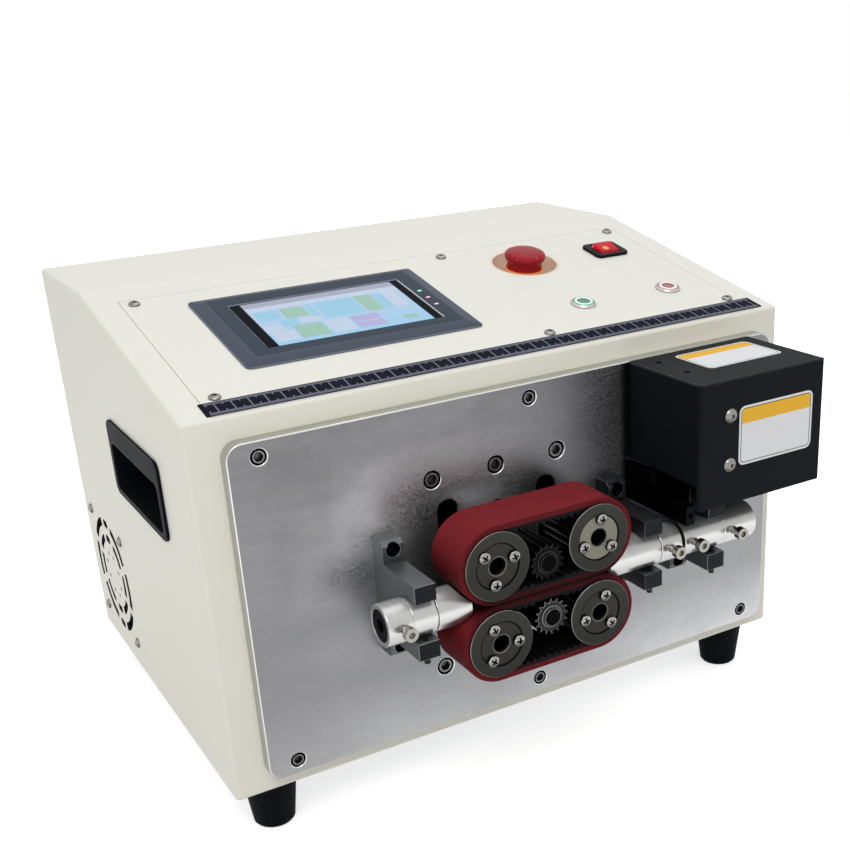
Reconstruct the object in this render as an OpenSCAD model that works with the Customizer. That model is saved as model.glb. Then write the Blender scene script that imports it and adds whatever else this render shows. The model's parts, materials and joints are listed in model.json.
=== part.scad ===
// Bench machine that feeds soft tube between two toothed belts and cuts it to length.
// Front faces -Y, the tube runs along +X, and the feet stand on Z = 0.

/* [Housing] */
// Width of the housing over its side walls
body_w = 432; // [425:1:440]
// Depth of the housing from front sheet to rear panel
body_d = 316; // [310:1:330]
// Height of the housing without its feet
body_h = 288; // [284:1:292]
// Height at which the front sheet turns into the sloped panel
front_h = 247; // [244:1:249]
// Depth at which the slope meets the level top
slope_end_y = 200.5; // [195:0.5:206]
// Thickness of the housing sheet
sheet = 2; // [1.5:0.5:2]
// Outer bend radius of the housing sheet
bend_r = 3; // [2.5:0.5:4]
// Height of the rubber feet
foot_h = 34; // [30:1:36]
// Distance that side screws and handle rims stand out of the side walls
side_proud = 2.2; // [1.8:0.1:2.4]

/* [Front plate] */
// Width of the machined front plate
plate_w = 397; // [395:1:400]
// Height of the machined front plate
plate_h = 220.5; // [219:0.5:222]
// Thickness of the machined front plate
plate_t = 10; // [9.5:0.5:10]
// Height of the plate's lower edge over the housing's underside
plate_z = 12.5; // [12:0.5:14]
// Offset of the plate's middle to the right of the housing's middle
plate_x = 3; // [2:0.5:4]
// Corner radius of the front plate
plate_r = 10; // [8:1:12]

/* [Belt units] */
// Place of the belt units' middle along X
feed_x = -23.5; // [-24:0.5:-23]
// Height of the tube's axis over the housing's underside
tube_z = 120; // [119.5:0.5:120.5]
// Distance of the tube's axis in front of the housing
tube_y = 51.5; // [51:0.5:52]
// Teeth of a belt
belt_teeth = 55; // [54:1:56]
// Pitch of the belt teeth
belt_pitch = 5; // [5:1:5]
// Teeth of a belt pulley
pulley_teeth = 26; // [26:1:26]
// Teeth of a feed pinion
pinion_teeth = 16; // [16:1:16]
// Outer radius of the rubber face where the belt goes round a pulley
belt_r = 25.5; // [25.3:0.1:25.6]
// Width of a belt
belt_w = 35; // [34:1:36]
// Gap between the two belts with nothing between them
nip_gap = 0.6; // [0.5:0.1:1]
// Height that the upper belt unit lifts
lift = 15; // [12:1:15]

/* [Guides and cutter] */
// Outer radius of the guide tubes
guide_r = 12.7; // [12.5:0.1:12.8]
// Radius of the bore that the tube runs through
guide_bore_r = 8; // [7:0.5:8.5]
// Place of the blade's middle plane along X
blade_x = 84.3; // [84.2:0.1:84.4]
// Thickness of the blade
blade_t = 1; // [0.8:0.1:1]
// Stroke of the blade
blade_stroke = 28; // [26:0.5:28.5]
// Left face of the blade cover
cover_x = 79; // [78.5:0.5:79]
// Width of the blade cover
cover_w = 102; // [100:0.5:103]
// Distance of the cover's front face from the housing
cover_y = 85; // [84:0.5:86]
// Height of the cover's top over the housing's underside
cover_top = 233; // [233:0.5:235]
// Height of the lower edge of the cover's front
cover_low = 150.8; // [150:0.1:152]

/* [Controls] */
// Width and length of the operator panel's bezel
hmi_size = [164, 110];
// Place of the operator panel's middle on the slope
hmi_at = [-75, 105];
// Place of the stop mushroom's well on the slope
estop_at = [91.7, 138.7];
// Radius of the well round the stop mushroom
well_r = 25.3; // [25:0.1:26]
// Depth of that well
well_depth = 14; // [12:1:15]
// Place of the mains rocker on the slope
rocker_at = [162.5, 136.8];
// Places of the start and stop push buttons on the slope
button_at = [[89.3, 56.8], [162.1, 56.8]];

/* [Hidden] */
eps = 0.01;
$fn = 64;

// Slope of the operator panel
slope_rise = body_h - front_h;
slope_len = norm([slope_end_y, slope_rise]);
slope_a = atan2(slope_rise, slope_end_y);
slope_u = [cos(slope_a), sin(slope_a)];
panel_x = 196;
panel_s = [2, 179.5];
slope_screws = [[-186.4, 24.2], [41, 24], [190, 24], [-187.6, 171.6], [39.6, 171.6], [188.3, 171.6]];

// Belt units: a belt of whole teeth sets the distance between its two pulleys
pulley_pitch_r = pulley_teeth * belt_pitch / (2 * PI);
pinion_pitch_r = pinion_teeth * belt_pitch / (2 * PI);
belt_land_r = pulley_pitch_r - 0.57;
pulley_dx = (belt_teeth - pulley_teeth) * belt_pitch / 4;
drum_r = belt_land_r - 0.35;
flange_r = 22;
axle_r = 6;
axle_fit = 0.06;
axle_seat = 0.05;
face_y = -70.5;
belt_y = -(tube_y + belt_w / 2);
cap_r = 14.6;
cap_screw_r = 11.9;
cap_sink = 0.6;
cap_t = 3.3;
cap_angles = [30, 150, 270];
cap_turn = [-25, 18.6, -48.7, 10.4];
flange_t = 1.2;
spacer_y = belt_y + belt_w + 0.3 + flange_t + 0.3;
lower_z = tube_z - belt_r - nip_gap / 2;
upper_z = tube_z + belt_r + nip_gap / 2;
pinion_drop = pulley_pitch_r - pinion_pitch_r;
pinion_r = belt_land_r - pinion_drop - 0.35;
pulley_xs = [feed_x - pulley_dx, feed_x + pulley_dx];
slot_r = 7;

// Feed gears behind the plate
gear_m = 1.5;
wheel_teeth = 36;
motor_teeth = 24;
feed_dist = gear_m * (wheel_teeth + motor_teeth) / 2;
shaft_r = 5;
motor_size = 57;

// Cutter drive
rack_x = 120;
cut_teeth = 20;
cut_pinion_x = rack_x + gear_m * cut_teeth / 2;
cut_pinion_z = 190;
slide_y = [-32.8, -24.8];

// Guides
arm_out = 24.2;
arm_in = 13;
bracket_w = 14.2;
bracket_top = 38.9;
bracket_xs = [-105.6, 59.2, 111.1];
arm_y = -64.4;
ear_y = -24.4;
ear_hole = 32.6;
ear_seat_y = -15.5;
arm_screw_y = arm_y + 4.5;
guide_screw_xs = [-120.5, 74.5, 93.5, 126.5];
guide_screw_reach = 17.5;

// The box's middle is the origin: X is even already, Y runs from the cover's screws to the inlet
cover_head = 2.2;
inlet_proud = 2.5;
origin_y = (cover_y + cover_head - body_d - inlet_proud) / 2;

// Places children given in the housing's own frame: Y 0 its front sheet, Z 0 its underside
module at_body() { translate([0, origin_y, foot_h]) children(); }

// Places children on the slope: X across, Y up the slope, Z out of it
module on_slope(p, h = 0) {
    translate([p[0], p[1] * slope_u[0] - h * slope_u[1], front_h + p[1] * slope_u[1] + h * slope_u[0]])
        rotate([slope_a, 0, 0]) children();
}

// Turns a shape's Z to run along +Y from the given place
module along_y(x, y, z) { translate([x, y, z]) rotate([-90, 0, 0]) children(); }

// Turns a shape's Z to run along +X from the given place
module along_x(x, y, z) { translate([x, y, z]) rotate([0, 90, 0]) children(); }

module span(a, b) { translate(a) cube(b - a); }

// A flat rectangle with rounded corners, centred, drawn with true arcs
module round_rect(w, h, r) {
    square([w - 2 * r, h], center = true);
    square([w, h - 2 * r], center = true);
    for (sx = [-1, 1], sy = [-1, 1]) translate([sx * (w / 2 - r), sy * (h / 2 - r)]) circle(r);
}

// Outline of a belt's loop at radius r, with true arcs round both pulleys
module loop(r) {
    for (s = [-1, 1]) translate([s * pulley_dx, 0]) circle(r);
    square([2 * pulley_dx, 2 * r], center = true);
}

// Socket-head screw, head up, with the thread below Z 0
module socket_screw(d, length, head_h) {
    difference() {
        cylinder(d = d * 1.7, h = head_h);
        translate([0, 0, head_h * 0.45]) cylinder(d = d * 0.9, h = head_h, $fn = 6);
    }
    translate([0, 0, -length]) cylinder(d = d, h = length);
}

// Button-head screw with a low domed head
module button_screw(d, length, head_h) {
    difference() {
        rotate_extrude() intersection() {
            translate([0, -d * 0.75]) circle(r = d * 0.75 + head_h * 1.12);
            square([d * 0.95, head_h]);
        }
        translate([0, 0, head_h * 0.35]) cylinder(d = d * 0.6, h = head_h, $fn = 6);
    }
    translate([0, 0, -length]) cylinder(d = d, h = length);
}

// Involute spur gear outline: module m, z teeth, with a little play in its teeth
function inv(a) = tan(a) * 180 / PI - a;
function flank(m, z, r) = let (rb = m * z * cos(20) / 2, a = acos(min(1, rb / r)))
    90 / z + inv(20) - inv(a) - 0.12 / (m * z) * 180 / PI;
function gear_points(m, z) = let (rf = m * (z / 2 - 1.25), ra = m * (z / 2 + 1),
        rb = max(rf, m * z * cos(20) / 2 + eps), rs = [rb, rb + (ra - rb) * 0.35, rb + (ra - rb) * 0.7, ra])
    [for (i = [0:z - 1]) each concat(
        [[rf, i * 360 / z - flank(m, z, rb) - 0.5]],
        [for (k = [0:3]) [rs[k], i * 360 / z - flank(m, z, rs[k])]],
        [for (k = [3:-1:0]) [rs[k], i * 360 / z + flank(m, z, rs[k])]],
        [[rf, i * 360 / z + flank(m, z, rb) + 0.5]])];
module spur(m, z, w, turn = 0) {
    rotate(turn) linear_extrude(w) polygon([for (p = gear_points(m, z)) [p[0] * cos(p[1]),
        p[0] * sin(p[1])]]);
}

// Housing

function shell_corners(d) = let (c = cos(slope_a) * front_h - d)
    [[d, d], [d, (c + sin(slope_a) * d) / cos(slope_a)],
     [(cos(slope_a) * (body_h - d) - c) / sin(slope_a), body_h - d], [body_d - sheet - d, body_h - d],
     [body_d - sheet - d, d]];

module shell_profile(d, x) {
    translate([-x, 0, 0]) rotate([90, 0, 90]) linear_extrude(2 * x) polygon(shell_corners(d));
}

module panel_opening(grow, low, high) {
    on_slope([0, 0]) span([-panel_x - grow, panel_s[0] - grow, low], [panel_x + grow, panel_s[1] + grow,
        high]);
}

// One ring of the fan grille: arc slots between two spokes' angles
module arc_slot(r, w, mid, half) {
    points = [for (a = [mid - half:half / 4:mid + half + eps]) [(r + w / 2) * cos(a), (r + w / 2) * sin(a)]];
    back = [for (a = [mid + half:-half / 4:mid - half - eps]) [(r - w / 2) * cos(a), (r - w / 2) * sin(a)]];
    polygon(concat(points, back));
}

fan_at = [250, 64.6];
fan_pitch = 82.5;
module grille_slots() {
    for (a = [51, 0, -51, -129, 180, 129]) arc_slot(41.5, 6.6, a, a % 180 == 0 ? 20 : 22.5);
    for (a = [47, 0, -47, -133, 180, 133]) arc_slot(29, 6, a, a % 180 == 0 ? 17 : 19);
    // Short slots with round ends at the top and the bottom of both rings
    for (r = [29, 41.5], s = [-1, 1]) translate([0, s * r]) round_rect(12, 6, 2.9);
    for (a = [22.5:45:360]) rotate(a) translate([16.7, 0]) circle(1.6, $fn = 16);
}

handle_y = [58, 174];
handle_low = 156.5;
handle_high = 209;
module handle_outline(grow) {
    mid = [(handle_y[0] + handle_y[1]) / 2, (handle_low + handle_high) / 2];
    translate(mid) round_rect(handle_y[1] - handle_y[0] + grow, handle_high - handle_low + grow,
        7 + grow / 2);
}

module housing_shell() {
    color([0.91, 0.90, 0.86]) at_body() difference() {
        union() {
            difference() {
                hull() for (p = shell_corners(bend_r), s = [-1, 1])
                    translate([s * (body_w / 2 - bend_r), p[0], p[1]]) sphere(bend_r, $fn = 24);
                shell_profile(sheet, body_w / 2 - sheet);
                panel_opening(0.4, -sheet - 1, bend_r);
            }
            // Ledge that the sloped panel is screwed down to
            difference() {
                on_slope([0, 0]) span([-204, 0.6, -2 * sheet], [204, 187.5, -sheet]);
                on_slope([0, 0]) span([-182, 27, -9], [182, 165.5, 1]);
                for (p = slope_screws) on_slope(p) cylinder(d = 4.1, h = 20, center = true);
            }
        }
        span([-204, 12, -1], [204, body_d - 14, sheet + 1]);
        span([-204, body_d - sheet - 2 * bend_r, 12], [204, body_d, body_h - 12]);
        // Opening behind the front plate
        span([-170, -1, 28], [176, sheet + 1, 219.5]);
        for (p = plate_screw_places) along_y(p[0], -1, p[1]) cylinder(d = 5.2, h = 5);
        // Fan grille and its screw holes in the left wall
        translate([-body_w / 2 - 1, fan_at[0], fan_at[1]]) rotate([90, 0, 90]) linear_extrude(sheet + 2) {
            grille_slots();
            for (y = [-1, 1], z = [-1, 1]) translate([y, z] * fan_pitch / 2) circle(d = 4.4);
        }
        for (s = [-1, 1]) translate([s * (body_w / 2 - sheet / 2) - 2, 0, 0]) rotate([90, 0, 90])
            linear_extrude(4) handle_outline(-4);
        for (p = rear_screws) translate([p[0], body_d + 1, p[1]]) rotate([90, 0, 0])
            cylinder(d = 3.2, h = 18);
    }
}

module base_plate() {
    color([0.62, 0.63, 0.64]) at_body() difference() {
        span([-212, 4, sheet], [212, body_d - sheet - 5, sheet + 2]);
        for (p = foot_places) translate([p[0], p[1], 0]) cylinder(d = 5.2, h = 8);
        for (x = [-60:20:120]) translate([x, 250, 0]) linear_extrude(8) round_rect(5, 46, 2.4);
    }
}

rear_t = 1.5;
rear_screws = [for (x = [-209, 209], s = [-110, 110]) [x, body_h / 2 + s]];
inlet_at = [150, 62];
module rear_panel() {
    color([0.88, 0.87, 0.83]) at_body() translate([0, body_d, 0]) rotate([90, 0, 0])
        linear_extrude(rear_t) difference() {
        translate([0, body_h / 2]) round_rect(body_w - 4, body_h - 4, 5);
        for (p = rear_screws) translate(p) circle(d = 3.4);
        translate(inlet_at) round_rect(28.6, 48.6, 1.5);
        for (x = [-105, -35], z = [164:11:230]) translate([x, z]) round_rect(58, 4, 1.9);
    }
}

foot_places = [for (x = [-187, 187], y = [21, body_d - 25]) [x, y]];
module feet() {
    color([0.10, 0.10, 0.11]) translate([0, origin_y, 0]) for (p = foot_places) translate([p[0], p[1], 0])
        rotate_extrude() polygon([[2.6, 3], [9, 3], [9, 0], [12.2, 0], [13.6, 1.6], [17.6, foot_h - 0.8],
            [16.8, foot_h],
            [2.6, foot_h]]);
}

// Front plate

plate_mid = plate_z + plate_h / 2;
plate_screw_places = [for (x = [-179.2, 0, 179.2], z = [-100.4, 100.4]) [plate_x + x, plate_mid + z]];
unit_screw_xs = [-68.8, -23.6, 22];
unit_screw_zs = [184.5, 54.5];
shaft_bore_r = shaft_r + 0.06;

module vertical_slot(x, low, high, r) {
    along_y(x, -plate_t - 1, low) cylinder(r = r, h = plate_t + 2);
    along_y(x, -plate_t - 1, high) cylinder(r = r, h = plate_t + 2);
    span([x - r, -plate_t - 1, low], [x + r, 1, high]);
}

module counterbored(x, z, d) {
    along_y(x, -plate_t - 1, z) cylinder(d = d, h = plate_t + 2);
    along_y(x, -plate_t - 1, z) cylinder(d = d * 1.9, h = d + 1.3);
}

module front_plate() {
    color([0.66, 0.67, 0.69]) at_body() difference() {
        translate([plate_x, 0, plate_mid]) rotate([90, 0, 0]) linear_extrude(plate_t)
            round_rect(plate_w, plate_h, plate_r);
        for (p = plate_screw_places) counterbored(p[0], p[1], 5);
        for (x = unit_screw_xs, z = unit_screw_zs) counterbored(x, z, 6);
        for (x = pulley_xs) vertical_slot(x, upper_z - 0.5, upper_z + lift + 1.5, slot_r);
        vertical_slot(feed_x, upper_z - pinion_drop - 0.5, upper_z - pinion_drop + lift + 1, slot_r);
        for (x = pulley_xs) along_y(x, -plate_t - 1, lower_z)
            cylinder(r = axle_r + axle_seat, h = plate_t + 2);
        along_y(feed_x, -plate_t - 1, lower_z + pinion_drop) cylinder(r = shaft_bore_r, h = plate_t + 2);
        along_y(cut_pinion_x, -plate_t - 1, cut_pinion_z) cylinder(r = shaft_bore_r, h = plate_t + 2);
        for (x = bracket_xs, z = [-ear_hole, ear_hole]) along_y(x, -plate_t - 1, tube_z + z)
            cylinder(d = 5, h = plate_t + 2);
    }
}

module plate_screws() {
    color([0.16, 0.16, 0.17]) at_body() {
        for (p = plate_screw_places) translate([p[0], -plate_t + 5.3, p[1]]) rotate([90, 0, 0])
            socket_screw(5, 9, 4.8);
        for (x = unit_screw_xs, z = unit_screw_zs) translate([x, -plate_t + 6.3, z])
            rotate([90, 0, 0]) socket_screw(6, 3.6, 5.6);
    }
}

// Sloped panel and controls

hmi_cut = [148, 98];
module slope_panel() {
    color([0.92, 0.91, 0.87]) at_body() difference() {
        panel_opening(0, -sheet, 0);
        on_slope(hmi_at) translate([0, 0, -5]) linear_extrude(10) round_rect(hmi_cut[0], hmi_cut[1], 3);
        on_slope(estop_at) cylinder(r = well_r, h = 10, center = true);
        on_slope(rocker_at) translate([0, 0, -5]) linear_extrude(10) round_rect(24.4, 21.4, 1);
        for (p = button_at) on_slope(p) cylinder(r = 8.5, h = 10, center = true);
        for (p = slope_screws) on_slope(p) cylinder(d = 4.2, h = 20, center = true);
    }
}

// Button heads on the slope, the fan, the rear panel and the blade cover
cover_screw_zs = [209.6, 177.2];
cover_screw_x = 103.5;
module case_screws() {
    color([0.55, 0.56, 0.57]) at_body() {
        for (p = slope_screws) on_slope(p) button_screw(4, 6, 2.2);
        translate([-body_w / 2, fan_at[0], fan_at[1]]) for (y = [-1, 1], z = [-1, 1])
            translate([0, y, z] * fan_pitch / 2)
            rotate([0, -90, 0]) button_screw(4, 8, side_proud);
        for (p = rear_screws) translate([p[0], body_d, p[1]]) rotate([-90, 0, 0]) button_screw(3, 8, 2);
        for (z = cover_screw_zs) translate([cover_screw_x, -cover_y, z]) rotate([90, 0, 0])
            button_screw(5, 6.5, cover_head);
    }
}

// Bezel of the operator panel: sloped sides, a flat face and a recess for the glass
hmi_rise = 3.6;
hmi_face = [143, 91];
glass = [122, 70];
glass_s = -2;
module hmi_bezel() {
    color([0.32, 0.35, 0.41]) at_body() on_slope(hmi_at) difference() {
        union() {
            hull() {
                linear_extrude(0.9) round_rect(hmi_size[0], hmi_size[1], 3);
                linear_extrude(hmi_rise) round_rect(hmi_face[0], hmi_face[1], 2);
            }
            translate([0, 0, -28]) linear_extrude(28 + eps) round_rect(hmi_cut[0] - 1, hmi_cut[1] - 1, 3);
        }
        translate([0, glass_s, hmi_rise - 1.4]) linear_extrude(5) round_rect(glass[0], glass[1], 0.8);
        translate([0, 0, -26]) linear_extrude(26) square([hmi_cut[0] - 6, hmi_cut[1] - 6], center = true);
    }
}

module hmi_screen() {
    color([0.72, 0.84, 0.90]) at_body() on_slope(hmi_at) translate([0, glass_s, hmi_rise - 1.4])
        linear_extrude(0.6) round_rect(glass[0] - 0.4, glass[1] - 0.4, 0.7);
}

// Scale along the panel's lower edge
module ruler_strip() {
    color([0.14, 0.16, 0.23]) at_body() on_slope([0, 0]) span([-198.5, 3, 0], [204, 19, 0.6]);
}

// Yellow collar that stands in the well round the stop mushroom's neck
module estop_collar() {
    color([0.93, 0.68, 0.18]) at_body() on_slope(estop_at) rotate_extrude()
        polygon([[8.4, -well_depth], [16.5, -well_depth], [16.5, -well_depth + 2], [14.6, -8], [14.3, -2.9],
            [13.5, -2.9], [13.5, -10.2], [8.4, -10.2]]);
}

// Well round the stop mushroom, with its floor below the panel
module estop_well() {
    color([0.80, 0.66, 0.58]) at_body() on_slope(estop_at) difference() {
        translate([0, 0, -well_depth - 2]) cylinder(r = well_r - 0.2, h = well_depth + 2);
        translate([0, 0, -well_depth]) cylinder(r = well_r - 1.4, h = 30);
        translate([0, 0, -20]) cylinder(r = 8.3, h = 20);
    }
}

module estop_plunger() {
    color([0.75, 0.10, 0.12]) at_body() on_slope(estop_at) difference() {
        translate([0, 0, -40]) cylinder(r = 8, h = 34.1);
        translate([0, 0, -16]) cylinder(r = 4.05, h = 30);
    }
}

module estop_head() {
    color([0.72, 0.11, 0.14]) at_body() on_slope(estop_at) {
        rotate_extrude() polygon([[0, -5.8], [12.5, -5.8], [13, -5.1], [13, -3.3], [12.7, -0.9], [12.9,
            1.5], [14, 3.1],
            [14.8, 4.3], [15.2, 5.7], [15, 6.9], [14.2, 8], [12.6, 8.8], [10, 9.3], [6, 9.6], [0, 9.7]]);
        translate([0, 0, -15]) cylinder(r = 4, h = 11);
    }
}

rocker_tilt = 10;
module rocker_frame() {
    color([0.07, 0.07, 0.08]) at_body() on_slope(rocker_at) difference() {
        union() {
            linear_extrude(2.4) round_rect(28, 25, 4);
            translate([0, 0, -22]) linear_extrude(22 + eps) round_rect(24, 21, 0.8);
        }
        translate([0, 0, -10]) linear_extrude(20) square([16, 18], center = true);
        translate([-15, 0, -1.5]) rotate([0, 90, 0]) cylinder(r = 1.56, h = 30);
    }
}

// Rocker on a cross axle, tilted to its on side at rest
module rocker() {
    color([0.85, 0.08, 0.12]) at_body() on_slope(rocker_at) translate([0, 0, -1.5])
        rotate([rocker_tilt, 0, 0]) {
        intersection() {
            rotate([0, 90, 0]) translate([0, 0, -7.6]) cylinder(r = 8.2, h = 15.2);
            translate([-10, -10, -6]) cube([20, 20, 11.6]);
        }
        rotate([0, 90, 0]) cylinder(r = 1.5, h = 20, center = true);
    }
}

module button_rings() {
    color([0.66, 0.67, 0.68]) at_body() for (p = button_at) on_slope(p) rotate_extrude()
        polygon([[7.5, -16], [8.4, -16], [8.4, 0], [9.1, 0], [9.1, 0.9], [8.4, 1.8], [7.5, 1.8]]);
}

module push_button(p) {
    at_body() on_slope(p) rotate_extrude()
        polygon([[0, -14], [7.2, -14], [7.2, 1.6], [6.6, 2.2], [4.7, 2.2], [4.4, 1.9], [0, 1.9]]);
}
module start_button() { color([0.12, 0.55, 0.42]) push_button(button_at[0]); }
module stop_button() { color([0.80, 0.16, 0.20]) push_button(button_at[1]); }

// Side walls

// Flush pull handle: a rimmed cup whose opening leans in under its upper lip
pocket_depth = 30;
module handle_cup() {
    difference() {
        union() {
            translate([0, 0, sheet]) linear_extrude(side_proud) handle_outline(0);
            translate([0, 0, -pocket_depth - 2]) linear_extrude(pocket_depth + 2 + sheet) handle_outline(-5);
        }
        // Finger space, from a low mouth up behind the lip
        translate([0, 0, -pocket_depth]) linear_extrude(pocket_depth + 10)
            translate([(handle_y[0] + handle_y[1]) / 2, handle_low + 20.5])
            round_rect(handle_y[1] - handle_y[0] - 12, 33, 5);
        translate([0, 0, -pocket_depth]) linear_extrude(pocket_depth - 6)
            translate([(handle_y[0] + handle_y[1]) / 2, handle_low + 24.5])
            round_rect(handle_y[1] - handle_y[0] - 12, 41, 5);
        // Sloped face above the mouth
        rotate([0, 90, 0]) rotate([0, 0, 90]) translate([handle_y[0] + 6, 0, 0]) rotate([0, 90, 0])
            rotate([0, 0, 90])
            linear_extrude(handle_y[1] - handle_y[0] - 12)
            polygon([[sheet + side_proud + 1, handle_high - 5], [sheet + side_proud - 1, handle_high - 6],
                [-4, handle_low + 37], [sheet + side_proud + 1, handle_low + 30]]);
    }
}

module side_handles() {
    color([0.07, 0.07, 0.08]) at_body() {
        for (s = [0, 1]) mirror([s, 0, 0]) mirror([1, 0, 0]) translate([body_w / 2 - sheet, 0, 0])
            rotate([90, 0, 90]) handle_cup();
    }
}

fan_size = 92;
module fan_frame() {
    color([0.09, 0.09, 0.10]) at_body() translate([-body_w / 2 + sheet, fan_at[0], fan_at[1]])
        rotate([90, 0, 90]) {
        linear_extrude(25) difference() {
            round_rect(fan_size, fan_size, 4);
            circle(r = 45);
            for (y = [-1, 1], z = [-1, 1]) translate([y, z] * fan_pitch / 2) circle(d = 4.3);
        }
        translate([0, 0, 21]) linear_extrude(4) {
            circle(r = 15);
            for (a = [45:90:359]) rotate(a) translate([14, -2]) square([32, 4]);
        }
        translate([0, 0, 8]) cylinder(r = 2.5, h = 14);
    }
}

module fan_impeller() {
    color([0.12, 0.12, 0.13]) at_body() translate([-body_w / 2 + sheet, fan_at[0], fan_at[1]])
        rotate([90, 0, 90]) {
        difference() {
            translate([0, 0, 2]) cylinder(r = 18, h = 18);
            translate([0, 0, 4]) cylinder(r = 2.56, h = 20);
            translate([0, 0, 6]) difference() {
                cylinder(r = 16, h = 20);
                cylinder(r = 6, h = 20);
            }
        }
        for (a = [0:360 / 7:359]) rotate(a) translate([29.5, 0, 11]) rotate([38, 0, 0])
            cube([25, 2, 16], center = true);
    }
}

// Belts, pulleys and pinions

// Toothed belt with a rubber face; its teeth are left out where they sit in a wheel's grooves
module belt(z, out) {
    at_body() along_y(feed_x, belt_y, z) {
        difference() {
            linear_extrude(belt_w) loop(belt_r);
            translate([0, 0, -1]) linear_extrude(belt_w + 2) loop(belt_land_r);
        }
        for (s = [-1, 1], i = [-5.5:5.5]) if (s != out || abs(i) > 1.6)
            translate([i * belt_pitch, s * (belt_land_r + 0.2), 0]) linear_extrude(belt_w) difference() {
                circle(r = 2, $fn = 20);
                translate([-3, s > 0 ? 0 : -6]) square([6, 6]);
            }
    }
}
module lower_belt() { color([0.46, 0.14, 0.16]) belt(lower_z, -1); }
module upper_belt() { color([0.46, 0.14, 0.16]) belt(upper_z, 1); }

// Pulley: a grooved drum between two flanges, recessed at the front for its cap
module pulley(x, z, turn) {
    at_body() along_y(x, face_y, z) difference() {
        union() {
            cylinder(r = flange_r, h = flange_t);
            translate([0, 0, belt_y + belt_w - face_y + 0.3]) cylinder(r = flange_r, h = flange_t);
            linear_extrude(belt_y + belt_w - face_y + 1) difference() {
                circle(drum_r);
                for (i = [0:pulley_teeth - 1]) rotate(i * 360 / pulley_teeth) translate([drum_r, 0])
                    circle(1.6, $fn = 8);
            }
        }
        translate([0, 0, -1]) cylinder(r = cap_r, h = 1 + cap_sink + cap_t);
        translate([0, 0, -1]) cylinder(r = axle_r + axle_fit, h = 60);
        translate([0, 0, cap_sink + cap_t - eps]) cylinder(r = 9.8, h = 7);
        for (a = cap_angles) rotate(a + turn) translate([cap_screw_r, 0, -1]) {
            cylinder(d = 3.2, h = 14);
            cylinder(d = 8.4, h = 1 + cap_sink);
        }
    }
}
module pulley_lower_left() { color([0.27, 0.27, 0.25]) pulley(pulley_xs[0], lower_z, cap_turn[0]); }
module pulley_lower_right() { color([0.27, 0.27, 0.26]) pulley(pulley_xs[1], lower_z, cap_turn[1]); }
module pulley_upper_left() { color([0.27, 0.27, 0.25]) pulley(pulley_xs[0], upper_z, cap_turn[2]); }
module pulley_upper_right() { color([0.27, 0.27, 0.25]) pulley(pulley_xs[1], upper_z, cap_turn[3]); }

// Cap disc that keeps a pulley on its axle, held by three pan-head screws
module cap(x, z, turn) {
    at_body() along_y(x, face_y + cap_sink, z) rotate(turn) {
        difference() {
            cylinder(r = cap_r - 0.15, h = cap_t);
            translate([0, 0, -1]) cylinder(r = 5.6, h = 9);
        }
        for (a = cap_angles) rotate(a) translate([cap_screw_r, 0, 0]) mirror([0, 0, 1]) difference() {
            union() {
                intersection() {
                    cylinder(d = 7.8, h = 2.7);
                    translate([0, 0, -4.2]) sphere(r = 6.9);
                }
                mirror([0, 0, 1]) cylinder(d = 3.2, h = 9);
            }
            translate([0, 0, 1.4]) for (q = [0, 90]) rotate(q) cube([4.2, 0.9, 4], center = true);
        }
    }
}
module cap_lower_left() { color([0.26, 0.26, 0.24]) cap(pulley_xs[0], lower_z, cap_turn[0]); }
module cap_lower_right() { color([0.26, 0.26, 0.25]) cap(pulley_xs[1], lower_z, cap_turn[1]); }
module cap_upper_left() { color([0.26, 0.26, 0.24]) cap(pulley_xs[0], upper_z, cap_turn[2]); }
module cap_upper_right() { color([0.50, 0.50, 0.43]) cap(pulley_xs[1], upper_z, cap_turn[3]); }

axle_front = -62.5;
module axle(x, z, back) {
    along_y(x, axle_front, z) cylinder(r = axle_r, h = back - axle_front);
    along_y(x, axle_front + 0.4, z) cylinder(r = 9.3, h = 2.2);
}
module lower_axles() {
    color([0.55, 0.56, 0.58]) at_body() for (x = pulley_xs) {
        difference() {
            axle(x, lower_z, 9);
            along_y(x, axle_front - 1, lower_z) cylinder(r = 2, h = 12);
        }
        along_y(x, spacer_y, lower_z) cylinder(r = 10, h = -plate_t - spacer_y);
        along_y(x, 0, lower_z) cylinder(r = 10, h = 7, $fn = 6);
    }
}
module upper_axles() {
    color([0.55, 0.56, 0.58]) at_body() for (x = pulley_xs) {
        difference() {
            axle(x, upper_z, 12.2);
            along_y(x, axle_front - 1, upper_z) cylinder(r = 2, h = 12);
        }
        along_y(x, spacer_y, upper_z) cylinder(r = 10, h = -plate_t - 0.5 - spacer_y);
        along_y(x, carriage_y[1], upper_z) cylinder(r = 10, h = 7, $fn = 6);
    }
}

// Feed pinion with round-bottomed grooves, on the shaft that carries its wheel behind the plate
module drive_pinion(z, front, gear_y, shaft_end) {
    at_body() {
        along_y(feed_x, front, z) {
            linear_extrude(belt_w - 1.5) difference() {
                circle(pinion_r);
                for (i = [0:pinion_teeth - 1]) rotate((i + 0.5) * 360 / pinion_teeth)
                    translate([pinion_r - 0.35, 0]) circle(1.78, $fn = 20);
            }
            translate([0, 0, -0.6]) cylinder(r = 7.4, h = 1);
            translate([0, 0, -1.6]) cylinder(r = 5.6, h = 3);
        }
        along_y(feed_x, front + 1, z) cylinder(r = shaft_r, h = shaft_end - front - 1);
        along_y(feed_x, gear_y, z) spur(gear_m, wheel_teeth, 8, 180 / wheel_teeth);
        along_y(feed_x, gear_y - 4, z) cylinder(r = 11, h = 5);
    }
}
lower_gear_y = 22;
upper_gear_y = 38;
lower_pinion_z = lower_z + pinion_drop;
upper_pinion_z = upper_z - pinion_drop;
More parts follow.
